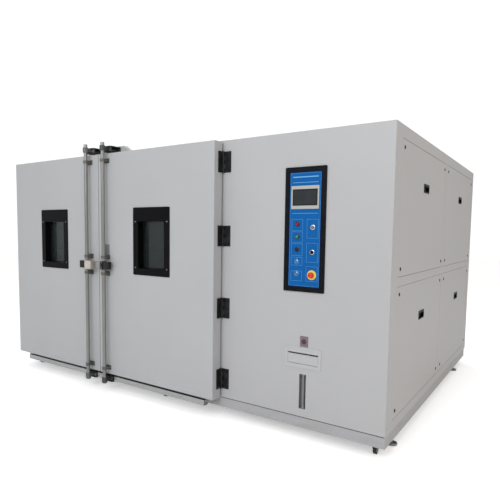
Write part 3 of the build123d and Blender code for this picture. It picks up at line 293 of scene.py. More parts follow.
def grain_group():
    """Moulded plastic, rubber or crackle paint: a fine even grain with small changes of sheen."""
    group, given = start_group("moulded_grain", [
        ("Colour", "NodeSocketColor", (0.05, 0.05, 0.05, 1)), ("Scale", "NodeSocketFloat", 900.0),
        ("Roughness", "NodeSocketFloat", 0.5), ("Dust", "NodeSocketFloat", 0.05)])
    point = object_point(group)
    fine = noise(group, point, given["Scale"], 1.0)
    patch = fit(group, noise(group, point, 22.0, 5.0, 0.65), 0.45, 0.75)
    dust = math_node(group, "MULTIPLY", patch, given["Dust"], clamp=True)
    rough = math_node(group, "ADD", given["Roughness"], fit(group, patch, 0.0, 1.0, -0.05, 0.12))
    put_out(group, Colour=mix_colour(group, dust, given["Colour"], LIGHT_DUST), Roughness=rough, Height=fine)
    return group


PAINT, BRUSHED, GRAIN = paint_group(), brushed_group(), grain_group()
print("groups:", [group.name for group in (PAINT, BRUSHED, GRAIN)])

# %% [markdown]
# A finish places one group, feeds its outputs to the Principled shader and turns its height into a small bump.
# Values that are the same all over, such as how metallic steel is, stay on the shader's own sockets. Paints, metals
# and plastics each have a short function, so that a finish is one line that can be read and changed.

# %% Making a finish
BUMP_DEPTH = 0.0004


def start_material(name):
    """A new material with its node tree and its Principled shader."""
    material = bpy.data.materials.new(name)
    material.use_nodes = True
    return material, material.node_tree, material.node_tree.nodes["Principled BSDF"]


def finish_from(name, group, inputs, bump, **shader_values):
    """A material with one shared group in it, and the constant values of its shader."""
    material, tree, shader = start_material(name)
    for key, value in shader_values.items():
        shader.inputs[key.replace("_", " ")].default_value = value
    effect = tree.nodes.new("ShaderNodeGroup")
    effect.node_tree = group
    for key, value in inputs.items():
        effect.inputs[key].default_value = value
    tree.links.new(effect.outputs["Colour"], shader.inputs["Base Color"])
    tree.links.new(effect.outputs["Roughness"], shader.inputs["Roughness"])
    raised = add(tree, "ShaderNodeBump", Strength=bump, Distance=BUMP_DEPTH, Height=effect.outputs["Height"])
    tree.links.new(raised.outputs[0], shader.inputs["Normal"])
    return material


def rgb(r, g, b):
    """A colour as the eye names it, from 0 to 255, to the linear values that the shader wants."""
    def linear(c):
        c /= 255
        return c / 12.92 if c <= 0.04045 else ((c + 0.055) / 1.055) ** 2.4
    return linear(r), linear(g), linear(b), 1.0


def paint(name, colour, dirt, gloss, bump, **shader_values):
    return finish_from(name, PAINT, {"Colour": rgb(*colour), "Dirt": dirt, "Gloss": gloss}, bump, **shader_values)


def metal(name, colour, grain, roughness, bump, stain=0.1, metallic=1.0):
    """The grain is how fine the scratches are along X, Y and Z. They run where its number is small."""
    inputs = {"Colour": rgb(*colour), "Grain": grain, "Roughness": roughness, "Stain": stain}
    return finish_from(name, BRUSHED, inputs, bump, Metallic=metallic)


def plastic(name, colour, roughness, dust=0.0, bump=0.04, grain=900.0, **shader_values):
    inputs = {"Colour": rgb(*colour), "Scale": grain, "Roughness": roughness, "Dust": dust}
    return finish_from(name, GRAIN, inputs, bump, **shader_values)


# %% [markdown]
# The chamber's sheets are all one pale powder paint. The base frame is dirtier, and what is black on the real object
# reflects very little, so its specular level is low.

# %% Paints and metals
body_paint = paint("body_paint", (184, 185, 187), 0.10, 0.44, 0.02)
door_paint = paint("door_paint", (182, 184, 187), 0.10, 0.44, 0.02)
base_paint = paint("base_paint", (174, 175, 178), 0.45, 0.48, 0.03)
machine_paint = paint("machine_paint", (58, 60, 64), 0.25, 0.45, 0.1)
box_paint = paint("box_paint", (196, 197, 199), 0.05, 0.5, 0.08)
blue_paint = paint("fascia_blue", (8, 94, 166), 0.0, 0.46, 0.02, Specular_IOR_Level=0.12)

EVEN, FINE_EVEN = (60.0, 60.0, 60.0), (40.0, 40.0, 40.0)
liner_steel = metal("liner_steel", (204, 205, 206), (8.0, 8.0, 700.0), 0.40, 0.02, stain=0.03)
drip_steel = metal("drip_steel", (196, 197, 198), (8.0, 700.0, 700.0), 0.32, 0.04)
upright_steel = metal("upright_steel", (176, 172, 166), (900.0, 900.0, 9.0), 0.30, 0.04)
lock_steel = metal("lock_steel", (226, 220, 212), (9.0, 900.0, 900.0), 0.42, 0.03, metallic=0.75)
zinc_steel = metal("zinc_steel", (168, 170, 172), EVEN, 0.38, 0.05)
chrome_ring = metal("chrome_ring", (210, 212, 214), EVEN, 0.16, 0.02)
coil_fins = metal("coil_fins", (206, 208, 210), (30.0, 900.0, 30.0), 0.36, 0.06)
fan_metal = metal("fan_metal", (188, 190, 192), FINE_EVEN, 0.4, 0.05)

# %% [markdown]
# Plastics, rubbers and printed ink differ mostly in colour and gloss. The grain is finer where its number is higher,
# and a tyre or a seal gets more dust and more bump than a push button.

# %% Plastics, rubbers and prints
BLACK_SHEEN = {"Specular_IOR_Level": 0.10}
black_plastic = plastic("black_plastic", (14, 16, 22), 0.44, 0.01, 0.08, **BLACK_SHEEN)
window_black = plastic("window_black", (8, 8, 12), 0.36, 0.005, 0.05, **BLACK_SHEEN)
grey_plastic = plastic("grey_plastic", (186, 187, 189), 0.45, grain=700.0)
slot_grey = plastic("slot_grey", (134, 135, 138), 0.5, 0.02, grain=700.0)
plate_grey = plastic("plate_grey", (118, 120, 123), 0.5, 0.03, 0.03, 500.0)
plate_mauve = plastic("plate_mauve", (122, 106, 112), 0.5, 0.03, 0.03, 500.0)
boss_plum = plastic("boss_plum", (74, 52, 62), 0.4, 0.0, 0.02, 500.0)
case_grey = plastic("case_grey", (140, 141, 142), 0.45, 0.05, 0.1, 600.0)
seal_rubber = plastic("seal_rubber", (26, 26, 26), 0.7, 0.08, 0.15, 600.0)
wheel_rubber = plastic("wheel_rubber", (30, 30, 30), 0.65, 0.25, 0.2, 500.0)
screen_bezel = plastic("screen_bezel", (176, 176, 172), 0.45, 0.0, 0.06, 800.0)
tank_plastic = plastic("tank_plastic", (226, 228, 226), 0.5, 0.05, 0.1, 120.0)
red_cap = plastic("red_cap", (148, 20, 26), 0.28)
stop_red = plastic("stop_red", (214, 54, 20), 0.28)
green_cap = plastic("green_cap", (26, 150, 120), 0.28)
dark_cap = plastic("dark_cap", (26, 26, 40), 0.3)
dark_ring = plastic("dark_ring", (22, 26, 44), 0.3)
stop_yellow = plastic("stop_yellow", (238, 214, 96), 0.4)
navy = plastic("navy_border", (12, 36, 84), 0.45, 0.0, 0.02, **BLACK_SHEEN)
print_blue = plastic("print_pale_blue", (108, 176, 226), 0.5, 0.0, 0.02, 600.0)
lamp_blue = plastic("lamp_blue", (40, 96, 150), 0.15, 0.0, 0.02)

# %% [markdown]
# Glass isn't one of the shared effects. The windows let light through, and the screen is a dark sheet with a sheen.

# %% Glass


def pane_finish():
    """Tinted double glazing, which lets some of the dark room show."""
    material, tree, shader = start_material("window_pane")
    shader.inputs["Metallic"].default_value = 0.0
    shader.inputs["Transmission Weight"].default_value = 0.92
    shader.inputs["IOR"].default_value = 1.46
    streak = noise(tree, stretched(tree, (3.0, 3.0, 1.2)), 2.0, 3.0)
    tint = mix_colour(tree, streak, (0.10, 0.14, 0.15, 1), (0.14, 0.18, 0.19, 1))
    tree.links.new(tint, shader.inputs["Base Color"])
    tree.links.new(fit(tree, streak, 0.3, 0.7, 0.02, 0.06), shader.inputs["Roughness"])
    return material


def screen_finish():
    """The dark, unlit glass of the touch screen, with a faint sheen and a few finger marks."""
    material, tree, shader = start_material("screen_glass")
    shader.inputs["Specular IOR Level"].default_value = 0.3
    marks = fit(tree, noise(tree, object_point(tree), 9.0, 2.0), 0.4, 0.7)
    tree.links.new(mix_colour(tree, marks, rgb(42, 47, 50), rgb(50, 51, 59)), shader.inputs["Base Color"])
    tree.links.new(fit(tree, marks, 0, 1, 0.16, 0.24), shader.inputs["Roughness"])
    return material


window_pane, screen_glass = pane_finish(), screen_finish()
print(len(bpy.data.materials), "finishes")

# %% [markdown]
# Some CAD nodes hold parts of different stuff. A lock bar is a steel tube with castings and a black grip on it, and
# the hinge plates and bar guides of a leaf are one node. Masks made from Object coordinates tell them apart.

# %% Finishes that change with the place
HANDLE_Z = BASE + 1.086
HUB_REACH = 0.05  # up and down from the handle
BAR_RADIUS = 0.017
GRIP_RADIUS = 0.0246  # what is farther than this from the bar's axis is the grip
BAR_FROM_MIDDLE = 0.115
BAR_Y = FACE - 0.046
bar_x = {"left": MIDDLE - BAR_FROM_MIDDLE, "right": MIDDLE + BAR_FROM_MIDDLE}
SEAM_REACH = 0.35  # guides and keepers lie this near to the doors' seam, hinges don't


def placed_group(tree, group, colour, roughness, **inputs):
    """One shared group with its colour and roughness set."""
    node = tree.nodes.new("ShaderNodeGroup")
    node.node_tree = group
    inputs = {"Colour": colour, "Roughness": roughness, **inputs}
    for key, value in inputs.items():
        node.inputs[key].default_value = value
    return node.outputs


def lock_bar_finish(side, hub_colour, cast_colour):
    """Steel inside the bar's radius, black where the grip is, castings at the cams."""
    material, tree, shader = start_material(f"{side}_lock_bar")
    from_handle = add(tree, "ShaderNodeVectorMath", {"operation": "SUBTRACT"}, n0=object_point(tree),
                      n1=(bar_x[side], BAR_Y, HANDLE_Z)).outputs[0]
    x, y, z = add(tree, "ShaderNodeSeparateXYZ", Vector=from_handle).outputs
    radial = add(tree, "ShaderNodeCombineXYZ", X=x, Y=y, Z=0.0).outputs[0]
    radius = add(tree, "ShaderNodeVectorMath", {"operation": "LENGTH"}, n0=radial).outputs["Value"]
    outside = fit(tree, radius, BAR_RADIUS + 0.0002, BAR_RADIUS + 0.0006)
    near_hub = math_node(tree, "LESS_THAN", math_node(tree, "ABSOLUTE", z), HUB_REACH)
    grip = math_node(tree, "MULTIPLY", near_hub, math_node(tree, "GREATER_THAN", radius, GRIP_RADIUS))
    hub = math_node(tree, "MULTIPLY", near_hub, outside)
    casting = math_node(tree, "MULTIPLY", outside, math_node(tree, "SUBTRACT", 1.0, near_hub))
    # The bar's steel colour is darker than bare steel. It is a painted reflection of dark surroundings.
    steel = placed_group(tree, BRUSHED, rgb(158, 159, 158), 0.27, Grain=(900.0, 900.0, 9.0))
    dark = placed_group(tree, GRAIN, cast_colour, 0.40)
    black = placed_group(tree, GRAIN, rgb(20, 21, 24), 0.45)
    colour = mix_colour(tree, casting, steel["Colour"], dark["Colour"])
    colour = mix_colour(tree, hub, colour, hub_colour)
    tree.links.new(mix_colour(tree, grip, colour, black["Colour"]), shader.inputs["Base Color"])
    plain = math_node(tree, "MAXIMUM", casting, grip)
    rough = mixed_value(tree, plain, steel["Roughness"], dark["Roughness"])
    tree.links.new(rough, shader.inputs["Roughness"])
    metallic = math_node(tree, "SUBTRACT", 1.0, math_node(tree, "MULTIPLY", plain, 0.7))
    tree.links.new(metallic, shader.inputs["Metallic"])
    return material


def fittings_finish(name, near_colour):
    """Black hinges at the far edges, and a metal of its own for what sits near the doors' seam."""
    material, tree, shader = start_material(name)
    across = add(tree, "ShaderNodeSeparateXYZ", Vector=object_point(tree)).outputs[0]
    from_seam = math_node(tree, "ABSOLUTE", math_node(tree, "SUBTRACT", across, MIDDLE))
    near = math_node(tree, "LESS_THAN", from_seam, SEAM_REACH)
    black = placed_group(tree, GRAIN, rgb(20, 21, 23), 0.44)
    bare = placed_group(tree, BRUSHED, near_colour, 0.38, Grain=EVEN)
    tree.links.new(mix_colour(tree, near, black["Colour"], bare["Colour"]), shader.inputs["Base Color"])
    tree.links.new(mixed_value(tree, near, black["Roughness"], bare["Roughness"]), shader.inputs["Roughness"])
    tree.links.new(math_node(tree, "MULTIPLY", near, 0.75), shader.inputs["Metallic"])
    shader.inputs["Specular IOR Level"].default_value = 0.3
    return material


# %% [markdown]
# ## Finishes on the solids
# A CAD solid whose shape is right only changes its material.

# %% Dress the CAD solids
ENDS, PLACES = ("front", "rear"), ("left", "middle", "right")
dress = {
    body_paint: ["room_panels", "door_frame", "cabinet_front_panel", "cabinet_roof", "cabinet_back_panel",
                 "cabinet_frame", "side_panels"],
    door_paint: ["left_door", "right_door"],
    base_paint: ["base_frame"],
    liner_steel: ["room_liner", "air_duct"],
    drip_steel: ["drip_channel"],
    lock_steel: ["left_lock_case"],
    zinc_steel: ["caster_brackets", "caster_fork_left", "caster_fork_middle", "caster_fork_right",
                 "levelling_foot_front_left", "levelling_foot_front_right", "levelling_foot_rear_left",
                 "levelling_foot_rear_right", "key_switch"],
    fittings_finish("leaf_fittings", rgb(118, 116, 110)): ["left_door_fittings", "right_door_fittings"],
    fittings_finish("frame_fittings", rgb(70, 72, 73)): ["frame_fittings"],
    black_plastic: ["fascia_frame", "flush_grips", "selector_knob"],
    window_black: ["left_window_frame", "right_window_frame"],
    grey_plastic: ["filler_frame", "filler_flap"],
    slot_grey: ["level_gauge"],
    case_grey: ["right_lock_case"],
    seal_rubber: ["left_door_gasket", "right_door_gasket"],
    wheel_rubber: [f"caster_wheel_{end}_{place}" for end in ENDS for place in PLACES],
    window_pane: ["left_window_glass", "right_window_glass"],
    blue_paint: ["fascia_plate"],
    screen_bezel: ["touch_screen"],
    red_cap: ["stop_button"],
    green_cap: ["start_button"],
    dark_cap: ["reset_button"],
    stop_red: ["emergency_stop"],
    tank_plastic: ["water_tank"],
    coil_fins: ["coil_unit"],
    fan_metal: ["circulation_fan_front", "circulation_fan_rear"],
    machine_paint: ["refrigeration_unit"],
    box_paint: ["electrical_box"],
    lock_bar_finish("left", rgb(178, 172, 164), rgb(108, 109, 110)): ["left_lock_bar"],
    lock_bar_finish("right", rgb(44, 45, 48), rgb(70, 72, 73)): ["right_lock_bar"],
    chrome_ring: ["control_bezels"],
}
for material, names in dress.items():
    for name in names:
        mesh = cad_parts[name].data
        mesh.materials.clear()
        mesh.materials.append(material)
dressed = {name for names in dress.values() for name in names}
print("not dressed:", sorted(set(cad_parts) - dressed))

# %% [markdown]
# ## Screws
# The side panels are held by black pan-head screws at their corners, and the hinges and window frames by smaller
# ones. One profile is spun for each kind. There are many, so each has only ten to sixteen steps.

# %% Screws of the side panels, hinges and windows
PANEL_SCREW_INSET = 0.052
HALF_FRAME_STRIP = 0.033  # half of the frame that shows between two side panels
HINGE_HEIGHTS = (0.235, 0.802, 1.368, 1.935)
HINGE_SCREW_PITCH = 0.058
HINGE_PLATE = 0.005
WINDOW_FLANGE = 0.006
WINDOW_SCREW_HEIGHTS = (1.478, 1.084)
WINDOW_SCREW_ACROSS = 0.183


def screw_profile(radius, height):
    """A pan head with a round sunk place in the middle, from the rim to the axis."""
    return [(radius, 0.0), (radius, height * 0.45), (radius * 0.82, height * 0.85), (radius * 0.48, height),
            (radius * 0.44, height * 0.45), (0.0, height * 0.45)]


def panel_rows(low, high):
    """Where the screws of two panels in a row are, from one edge to the other."""
    middle = (low + high) / 2
    return (low + PANEL_SCREW_INSET, middle - HALF_FRAME_STRIP - PANEL_SCREW_INSET,
            middle + HALF_FRAME_STRIP + PANEL_SCREW_INSET, high - PANEL_SCREW_INSET)


small_screw = screw_profile(0.0055, 0.0022)
side_low, side_high = node_box("side_panels")
bm = bmesh.new()
for y in panel_rows(side_low.y, side_high.y):
    for z in panel_rows(side_low.z, side_high.z):
        add_turned(bm, screw_profile(0.013, 0.003), (RIGHT, y, z), "X", 16)
finish_piece("side_panel_screws", bm, black_plastic, "chamber")

bm = bmesh.new()
for z in HINGE_HEIGHTS:
    for x in (SEAM + 0.032, SEAM + 0.062):
        for dz in (-HINGE_SCREW_PITCH, 0.0, HINGE_SCREW_PITCH):
            add_turned(bm, small_screw, (x, FRONT - HINGE_PLATE, BASE + z + dz), "-Y", 10)
finish_piece("cabinet_hinge_screws", bm, black_plastic, "chamber")

for side, low, high in (("left", left_low, left_high), ("right", right_low, right_high)):
    x = (low.x + high.x) / 2
    bm = bmesh.new()
    for dx in (-WINDOW_SCREW_ACROSS, WINDOW_SCREW_ACROSS):
        for z in WINDOW_SCREW_HEIGHTS:
            add_turned(bm, small_screw, (x + dx, FACE - WINDOW_FLANGE, BASE + z), "-Y", 12)
    finish_piece(f"{side}_window_screws", bm, upright_steel, f"{side}_leaf")

# %% [markdown]
# The bar guides are bolted to the leaves and the keepers to the frame behind them. The hubs of the lock bars have two
# set screws each, and the lock cases small screws at their corners.

# %% Bolts of the guides, keepers, hubs and lock cases
GUIDE_HEIGHTS = (0.140, 1.011, 1.161, 2.020)
GUIDE_PLATE = 0.006
GUIDE_BOLT_ACROSS = 0.030
KEEPER_HEIGHTS = (0.030, 2.127)
KEEPER_WALL = 0.009
KEEPER_BOLT_ACROSS = 0.047
CASE_SCREW_INSET = 0.010
case_left_inset = {"left": CASE_SCREW_INSET, "right": 0.032}  # the right case has its buffer on that side
for side, x in bar_x.items():
    bm = bmesh.new()
    for z in GUIDE_HEIGHTS:
        for dx in (-GUIDE_BOLT_ACROSS, GUIDE_BOLT_ACROSS):
            add_bolt(bm, (x + dx, FACE - GUIDE_PLATE, BASE + z), "-Y", 0.0052, 0.0042)
    case_low, case_high = node_box(f"{side}_lock_case")
    for case_x in (case_low.x + case_left_inset[side], case_high.x - CASE_SCREW_INSET):
        for z in (case_low.z + CASE_SCREW_INSET, case_high.z - CASE_SCREW_INSET):
            add_turned(bm, screw_profile(0.0036, 0.0014), (case_x, case_low.y, z), "-Y", 12)
    finish_piece(f"{side}_leaf_bolts", bm, zinc_steel, f"{side}_leaf")
    bm = bmesh.new()
    for dz in (-0.024, 0.024):
        add_turned(bm, screw_profile(0.0048, 0.0016), (x, BAR_Y - 0.0238, HANDLE_Z + dz), "-Y", 12)
    finish_piece(f"{side}_hub_screws", bm, zinc_steel, f"{side}_lock")
bm = bmesh.new()
for x in bar_x.values():
    for z in KEEPER_HEIGHTS:
        for dx in (-KEEPER_BOLT_ACROSS, KEEPER_BOLT_ACROSS):
            add_bolt(bm, (x + dx, FRONT - KEEPER_WALL, BASE + z), "-Y", 0.0065, 0.0052)
finish_piece("keeper_bolts", bm, zinc_steel, "chamber")

# %% [markdown]
# Two small plates stand on the paint: a square one on the right leaf beside its bar, and one above the filler with a
# round boss. Each plate is a thin block with its edges just broken, which reads as a stuck-on sheet in slanting light.

# %% Plain plates
PLATE_THICKNESS = 0.0012
PLATE_BEVEL = 0.0005
PLATE_SUNK = 0.0002  # how far a plate reaches into the paint
BOSS_FROM_RIGHT, BOSS_HEIGHT = 0.594, 0.629
for name, face, x0, x1, z0, z1, material, body, slot in (
        ("leaf_plate", FACE, SEAM - 1.274, SEAM - 1.179, 1.183, 1.274, plate_grey, "right_leaf", "screen_case"),
        ("cabinet_plate", FRONT, RIGHT - 0.625, RIGHT - 0.560, 0.591, 0.669, plate_mauve, "chamber",
         "bezel_plastic")):
    bm = bmesh.new()
    add_block(bm, (x0, face - PLATE_THICKNESS, BASE + z0), (x1, face + PLATE_SUNK, BASE + z1), PLATE_BEVEL, 1)
    finish_piece(name, bm, material, body)
boss = [(0.019, 0.0), (0.019, 0.0012), (0.017, 0.002), (0.007, 0.002), (0.006, 0.0032), (0.0, 0.0034)]
bm = bmesh.new()
add_turned(bm, boss, (RIGHT - BOSS_FROM_RIGHT, FRONT - 0.0011, BASE + BOSS_HEIGHT), "-Y", 32)
finish_piece("cabinet_plate_boss", bm, boss_plum, "chamber")

# %% [markdown]
# ## Outside of the room
# The insulated panels meet in butt joints, each under a flat cover strip. A folded angle covers the rear left corner.
# Strips are thin blocks here, because each is a strip of sheet with its edges just broken.

# %% Cover strips and corner angle
STRIP_THICKNESS = 0.0016
HALF_STRIP = 0.018
STRIP_BEVEL = 0.0006
STRIP_FOOT, STRIP_HEAD = BODY_FLOOR + 0.004, TOP - 0.002
SUNK = 0.0002  # how far a strip reaches into the sheet that it lies on
CORNER_FLANGE = 0.045


def panel_joints(low, high):
    """Three panels side by side meet at the thirds."""
    return [low + (high - low) * n / 3 for n in (1, 2)]


panels_low, panels_high = node_box("room_panels")
bm = bmesh.new()
for y in panel_joints(panels_low.y, panels_high.y):
    near, far = y - HALF_STRIP, y + HALF_STRIP
    add_block(bm, (LEFT - STRIP_THICKNESS, near, STRIP_FOOT), (LEFT + SUNK, far, STRIP_HEAD), STRIP_BEVEL, 1)
    add_block(bm, (LEFT + 0.002, near, TOP - SUNK), (SEAM - 0.002, far, TOP + STRIP_THICKNESS), STRIP_BEVEL, 1)
for x in panel_joints(LEFT, SEAM):
    add_block(bm, (x - HALF_STRIP, BACK - SUNK, STRIP_FOOT), (x + HALF_STRIP, BACK + STRIP_THICKNESS, STRIP_HEAD),
              STRIP_BEVEL, 1)
outer = LEFT - STRIP_THICKNESS
add_block(bm, (outer, BACK - CORNER_FLANGE, STRIP_FOOT), (LEFT + SUNK, BACK, STRIP_HEAD), STRIP_BEVEL, 1)
add_block(bm, (outer, BACK - SUNK, STRIP_FOOT), (LEFT + CORNER_FLANGE, BACK + STRIP_THICKNESS, STRIP_HEAD),
          STRIP_BEVEL, 1)
finish_piece("panel_cover_strips", bm, body_paint, "chamber")

# %% [markdown]
# A dark strip lies between the cabinet's front and the base frame under it. It is a painted shadow line where the two
# meet, made as one long thin block.

# %% Painted shadow line over the base frame
SHADOW_STRIP_END = 0.004
bm = bmesh.new()
add_block(bm, (SEAM + SHADOW_STRIP_END, FRONT - 0.0008, BODY_FLOOR - 0.0035),
          (RIGHT - SHADOW_STRIP_END, FRONT + 0.0004, BODY_FLOOR + 0.0005), 0.0003, 1)
# The gaskets' black rubber gives this strip only its colour: it is painted shadow, not a seal.
finish_piece("base_shadow_strip", bm, seal_rubber, "chamber")

# %% [markdown]
# Two services leave the back of the cabinet low down: the mains cable's gland and the drain's threaded stub. Both are
# turned parts, so each is one profile spun about its axis.

# %% Cable gland and drain
SERVICE_Z = BODY_FLOOR + 0.16
GLAND_FROM_EDGE, DRAIN_FROM_EDGE = 0.16, 0.27
gland = [(0.0, 0.0), (0.026, 0.0), (0.026, 0.007), (0.021, 0.008), (0.021, 0.018), (0.017, 0.024), (0.011, 0.026),
         (0.010, 0.022), (0.0, 0.022)]
drain = [(0.030, 0.0), (0.030, 0.004), (0.017, 0.005), (0.017, 0.030), (0.0145, 0.030), (0.0140, 0.004), (0.0, 0.004)]
back_high = node_box("cabinet_back_panel")[1]
for name, profile, from_edge, material, slot in (
        ("cable_gland", gland, GLAND_FROM_EDGE, black_plastic, "black_plastic"),
        ("drain_stub", drain, DRAIN_FROM_EDGE, zinc_steel, "zinc_steel")):
    bm = bmesh.new()
    add_turned(bm, profile, (back_high.x - from_edge, back_high.y - 0.0003, SERVICE_Z), "Y", 24)
    finish_piece(name, bm, material, "chamber")

# %% [markdown]
# ## Inside the room
# Each circulation fan has a guard of wire rings on four flat spokes. It shows through the open doors. The rings are
# spun, and each spoke is made upright and turned about the fan's axis, because that is easier than placing it aslant.

# %% Fan guards
GUARD_RADII = (0.045, 0.085, 0.125, 0.165, 0.205)
GUARD_WIRE = 0.0016
HALF_SPOKE, HALF_FOOT = 0.0025, 0.008
SPOKE_START = 0.020
SPOKE_BEVEL = 0.0004
guard_cap = [(0.0, 0.0045), (0.024, 0.0045), (0.026, 0.003), (0.026, -0.002), (0.0, -0.002)]
duct_low = node_box("air_duct")[0]
x = duct_low.x - 0.012
spoke_x = x + 0.0012
bm = bmesh.new()
for end in ENDS:
    fan_low, fan_high = node_box(f"circulation_fan_{end}")
    y, z = (fan_low.y + fan_high.y) / 2, (fan_low.z + fan_high.z) / 2
    for radius in GUARD_RADII:
        add_ring(bm, (x, y, z), "-X", radius, GUARD_WIRE, 56)
    for n in range(4):
        fresh = len(bm.verts)
        add_block(bm, (spoke_x, y - HALF_SPOKE, z + SPOKE_START), (spoke_x + 0.002, y + HALF_SPOKE, z + 0.222),
                  SPOKE_BEVEL, 1)
        add_block(bm, (spoke_x, y - HALF_FOOT, z + 0.214), (duct_low.x + 0.0003, y + HALF_FOOT, z + 0.230),
                  SPOKE_BEVEL, 1)
        bm.verts.ensure_lookup_table()
        bmesh.ops.rotate(bm, cent=(x, y, z), matrix=Matrix.Rotation(math.radians(45 + 90 * n), 3, "X"),
                         verts=bm.verts[fresh:])
    add_turned(bm, guard_cap, (x, y, z), "-X", 32)
finish_piece("fan_guards", bm, chrome_ring, "chamber")

# %% [markdown]
# A bulkhead lamp hangs from the liner's ceiling, between the left wall and the duct. Its ribbed glass is a row of
# rounded blocks, which catch the light as cast ribs do.

# %% Ceiling lamp
LAMP_HALF_LENGTH, LAMP_HALF_WIDTH, GLASS_HALF_WIDTH = 0.15, 0.075, 0.055
RIB_PITCH, HALF_RIB, RIB_COUNT = 0.028, 0.0132, 9
liner_low, liner_high = node_box("room_liner")
lamp_x, lamp_y, ceiling = (liner_low.x + duct_low.x) / 2, (liner_low.y + liner_high.y) / 2, liner_high.z - 0.002
bm = bmesh.new()
add_block(bm, (lamp_x - LAMP_HALF_LENGTH, lamp_y - LAMP_HALF_WIDTH, ceiling - 0.030),
          (lamp_x + LAMP_HALF_LENGTH, lamp_y + LAMP_HALF_WIDTH, ceiling + 0.0003), 0.006, 3)
finish_piece("lamp_body", bm, upright_steel, "chamber")
bm = bmesh.new()
for n in range(RIB_COUNT):
    x = lamp_x + RIB_PITCH * (n - RIB_COUNT // 2)
    add_block(bm, (x - HALF_RIB, lamp_y - GLASS_HALF_WIDTH, ceiling - 0.052),
              (x + HALF_RIB, lamp_y + GLASS_HALF_WIDTH, ceiling - 0.028), 0.006, 3)
finish_piece("lamp_glass", bm, tank_plastic, "chamber")

# %% [markdown]
# ## Castors
# Each wheel is a black tyre on a pale hub, so a thin hub disc is laid on both its sides. It turns with the wheel.

# %% Hub discs of the wheels
hub_disc = [(0.0056, 0.0), (0.0056, 0.0012), (0.0170, 0.0012), (0.0180, 0.0006), (0.0180, 0.0)]
for end in ENDS:
    for place in PLACES:
        low, high = node_box(f"caster_wheel_{end}_{place}")
        y, z = (low.y + high.y) / 2, (low.z + high.z) / 2
        bm = bmesh.new()
        for x, axis in ((low.x + 0.0002, "-X"), (high.x - 0.0002, "X")):
            add_turned(bm, hub_disc, (x, y, z), axis, 32)
        finish_piece(f"wheel_hub_{end}_{place}", bm, case_grey, f"wheel_{end}_{place}")

# %% [markdown]
# ## Control panel
# The blue fascia is printed with pale outlines round each group of devices, three pale rules and a dark border. All
# are thin raised shapes rather than a pattern in the material, so they hold in any light and in the exported mesh.

# %% Printed lines of the fascia
plate_low, plate_high = node_box("fascia_plate")
PLATE_Y = plate_low.y
CONTROL_X = (plate_low.x + plate_high.x) / 2
LINE, LINE_DEPTH = 0.0016, 0.0003
BORDER, BORDER_INSET = 0.008, 0.0004
RULE_HALF_LENGTH = 0.098
left_boxes = ((1.414, 1.494), (1.331, 1.407), (1.239, 1.323), (1.171, 1.228), (1.061, 1.131))
right_boxes = ((1.362, 1.494), (1.196, 1.329), (1.063, 1.166))
rules = ((1.786, 0.0035), (1.748, 0.0015), (1.535, 0.0012))  # height and half thickness


def add_plate_frame(bm, inset, width):
    """An outline at one distance from all edges of the fascia."""
    add_line_frame(bm, plate_low.x + inset, plate_high.x - inset, plate_low.z + inset, plate_high.z - inset, PLATE_Y,
                   width, LINE_DEPTH)


bm = bmesh.new()
add_plate_frame(bm, BORDER, LINE)
for boxes, x0, x1 in ((left_boxes, -0.100, -0.014), (right_boxes, 0.018, 0.104)):
    for z0, z1 in boxes:
        add_line_frame(bm, CONTROL_X + x0, CONTROL_X + x1, BASE + z0, BASE + z1, PLATE_Y, LINE, LINE_DEPTH)
for z, half in rules:
    add_block(bm, (CONTROL_X - RULE_HALF_LENGTH, PLATE_Y - LINE_DEPTH, BASE + z - half),
              (CONTROL_X + RULE_HALF_LENGTH, PLATE_Y + 0.0001, BASE + z + half))
finish_piece("fascia_printing", bm, print_blue, "chamber")
bm = bmesh.new()
add_plate_frame(bm, BORDER_INSET, BORDER)
finish_piece("fascia_border", bm, navy, "chamber")

# %% [markdown]
# The touch screen's glass sits sunk in its bezel, with a darker band round the picture. The pane is a thin block and
# the band an outline that is laid on its edge.

# %% Screen glass
GLASS_HALF_X, GLASS_HALF_Z = 0.095, 0.057
GLASS_GAP, BAND_GAP = 0.0006, 0.0004
GLASS_SUNK = 0.0009
screen_low, screen_high = node_box("touch_screen")
screen_z = (screen_low.z + screen_high.z) / 2
pane_y = screen_low.y + GLASS_SUNK
bm = bmesh.new()
add_block(bm, (CONTROL_X - GLASS_HALF_X + GLASS_GAP, pane_y, screen_z - GLASS_HALF_Z + GLASS_GAP),
          (CONTROL_X + GLASS_HALF_X - GLASS_GAP, screen_low.y + 0.0016, screen_z + GLASS_HALF_Z - GLASS_GAP),
          0.0003, 1)
finish_piece("screen_pane", bm, screen_glass, "chamber")
bm = bmesh.new()
add_line_frame(bm, CONTROL_X - GLASS_HALF_X + BAND_GAP, CONTROL_X + GLASS_HALF_X - BAND_GAP,
               screen_z - GLASS_HALF_Z + BAND_GAP, screen_z + GLASS_HALF_Z - BAND_GAP, pane_y, 0.008, 0.0004)
finish_piece("screen_border", bm, black_plastic, "chamber")

# %% [markdown]
# The push buttons have dark rings and the two switches bright ones, the two lamps have domed lenses with a printed
# ring round them, and the emergency stop stands on a yellow plate. All are spun from a profile, so that their edges
# stay crisp in a close view.

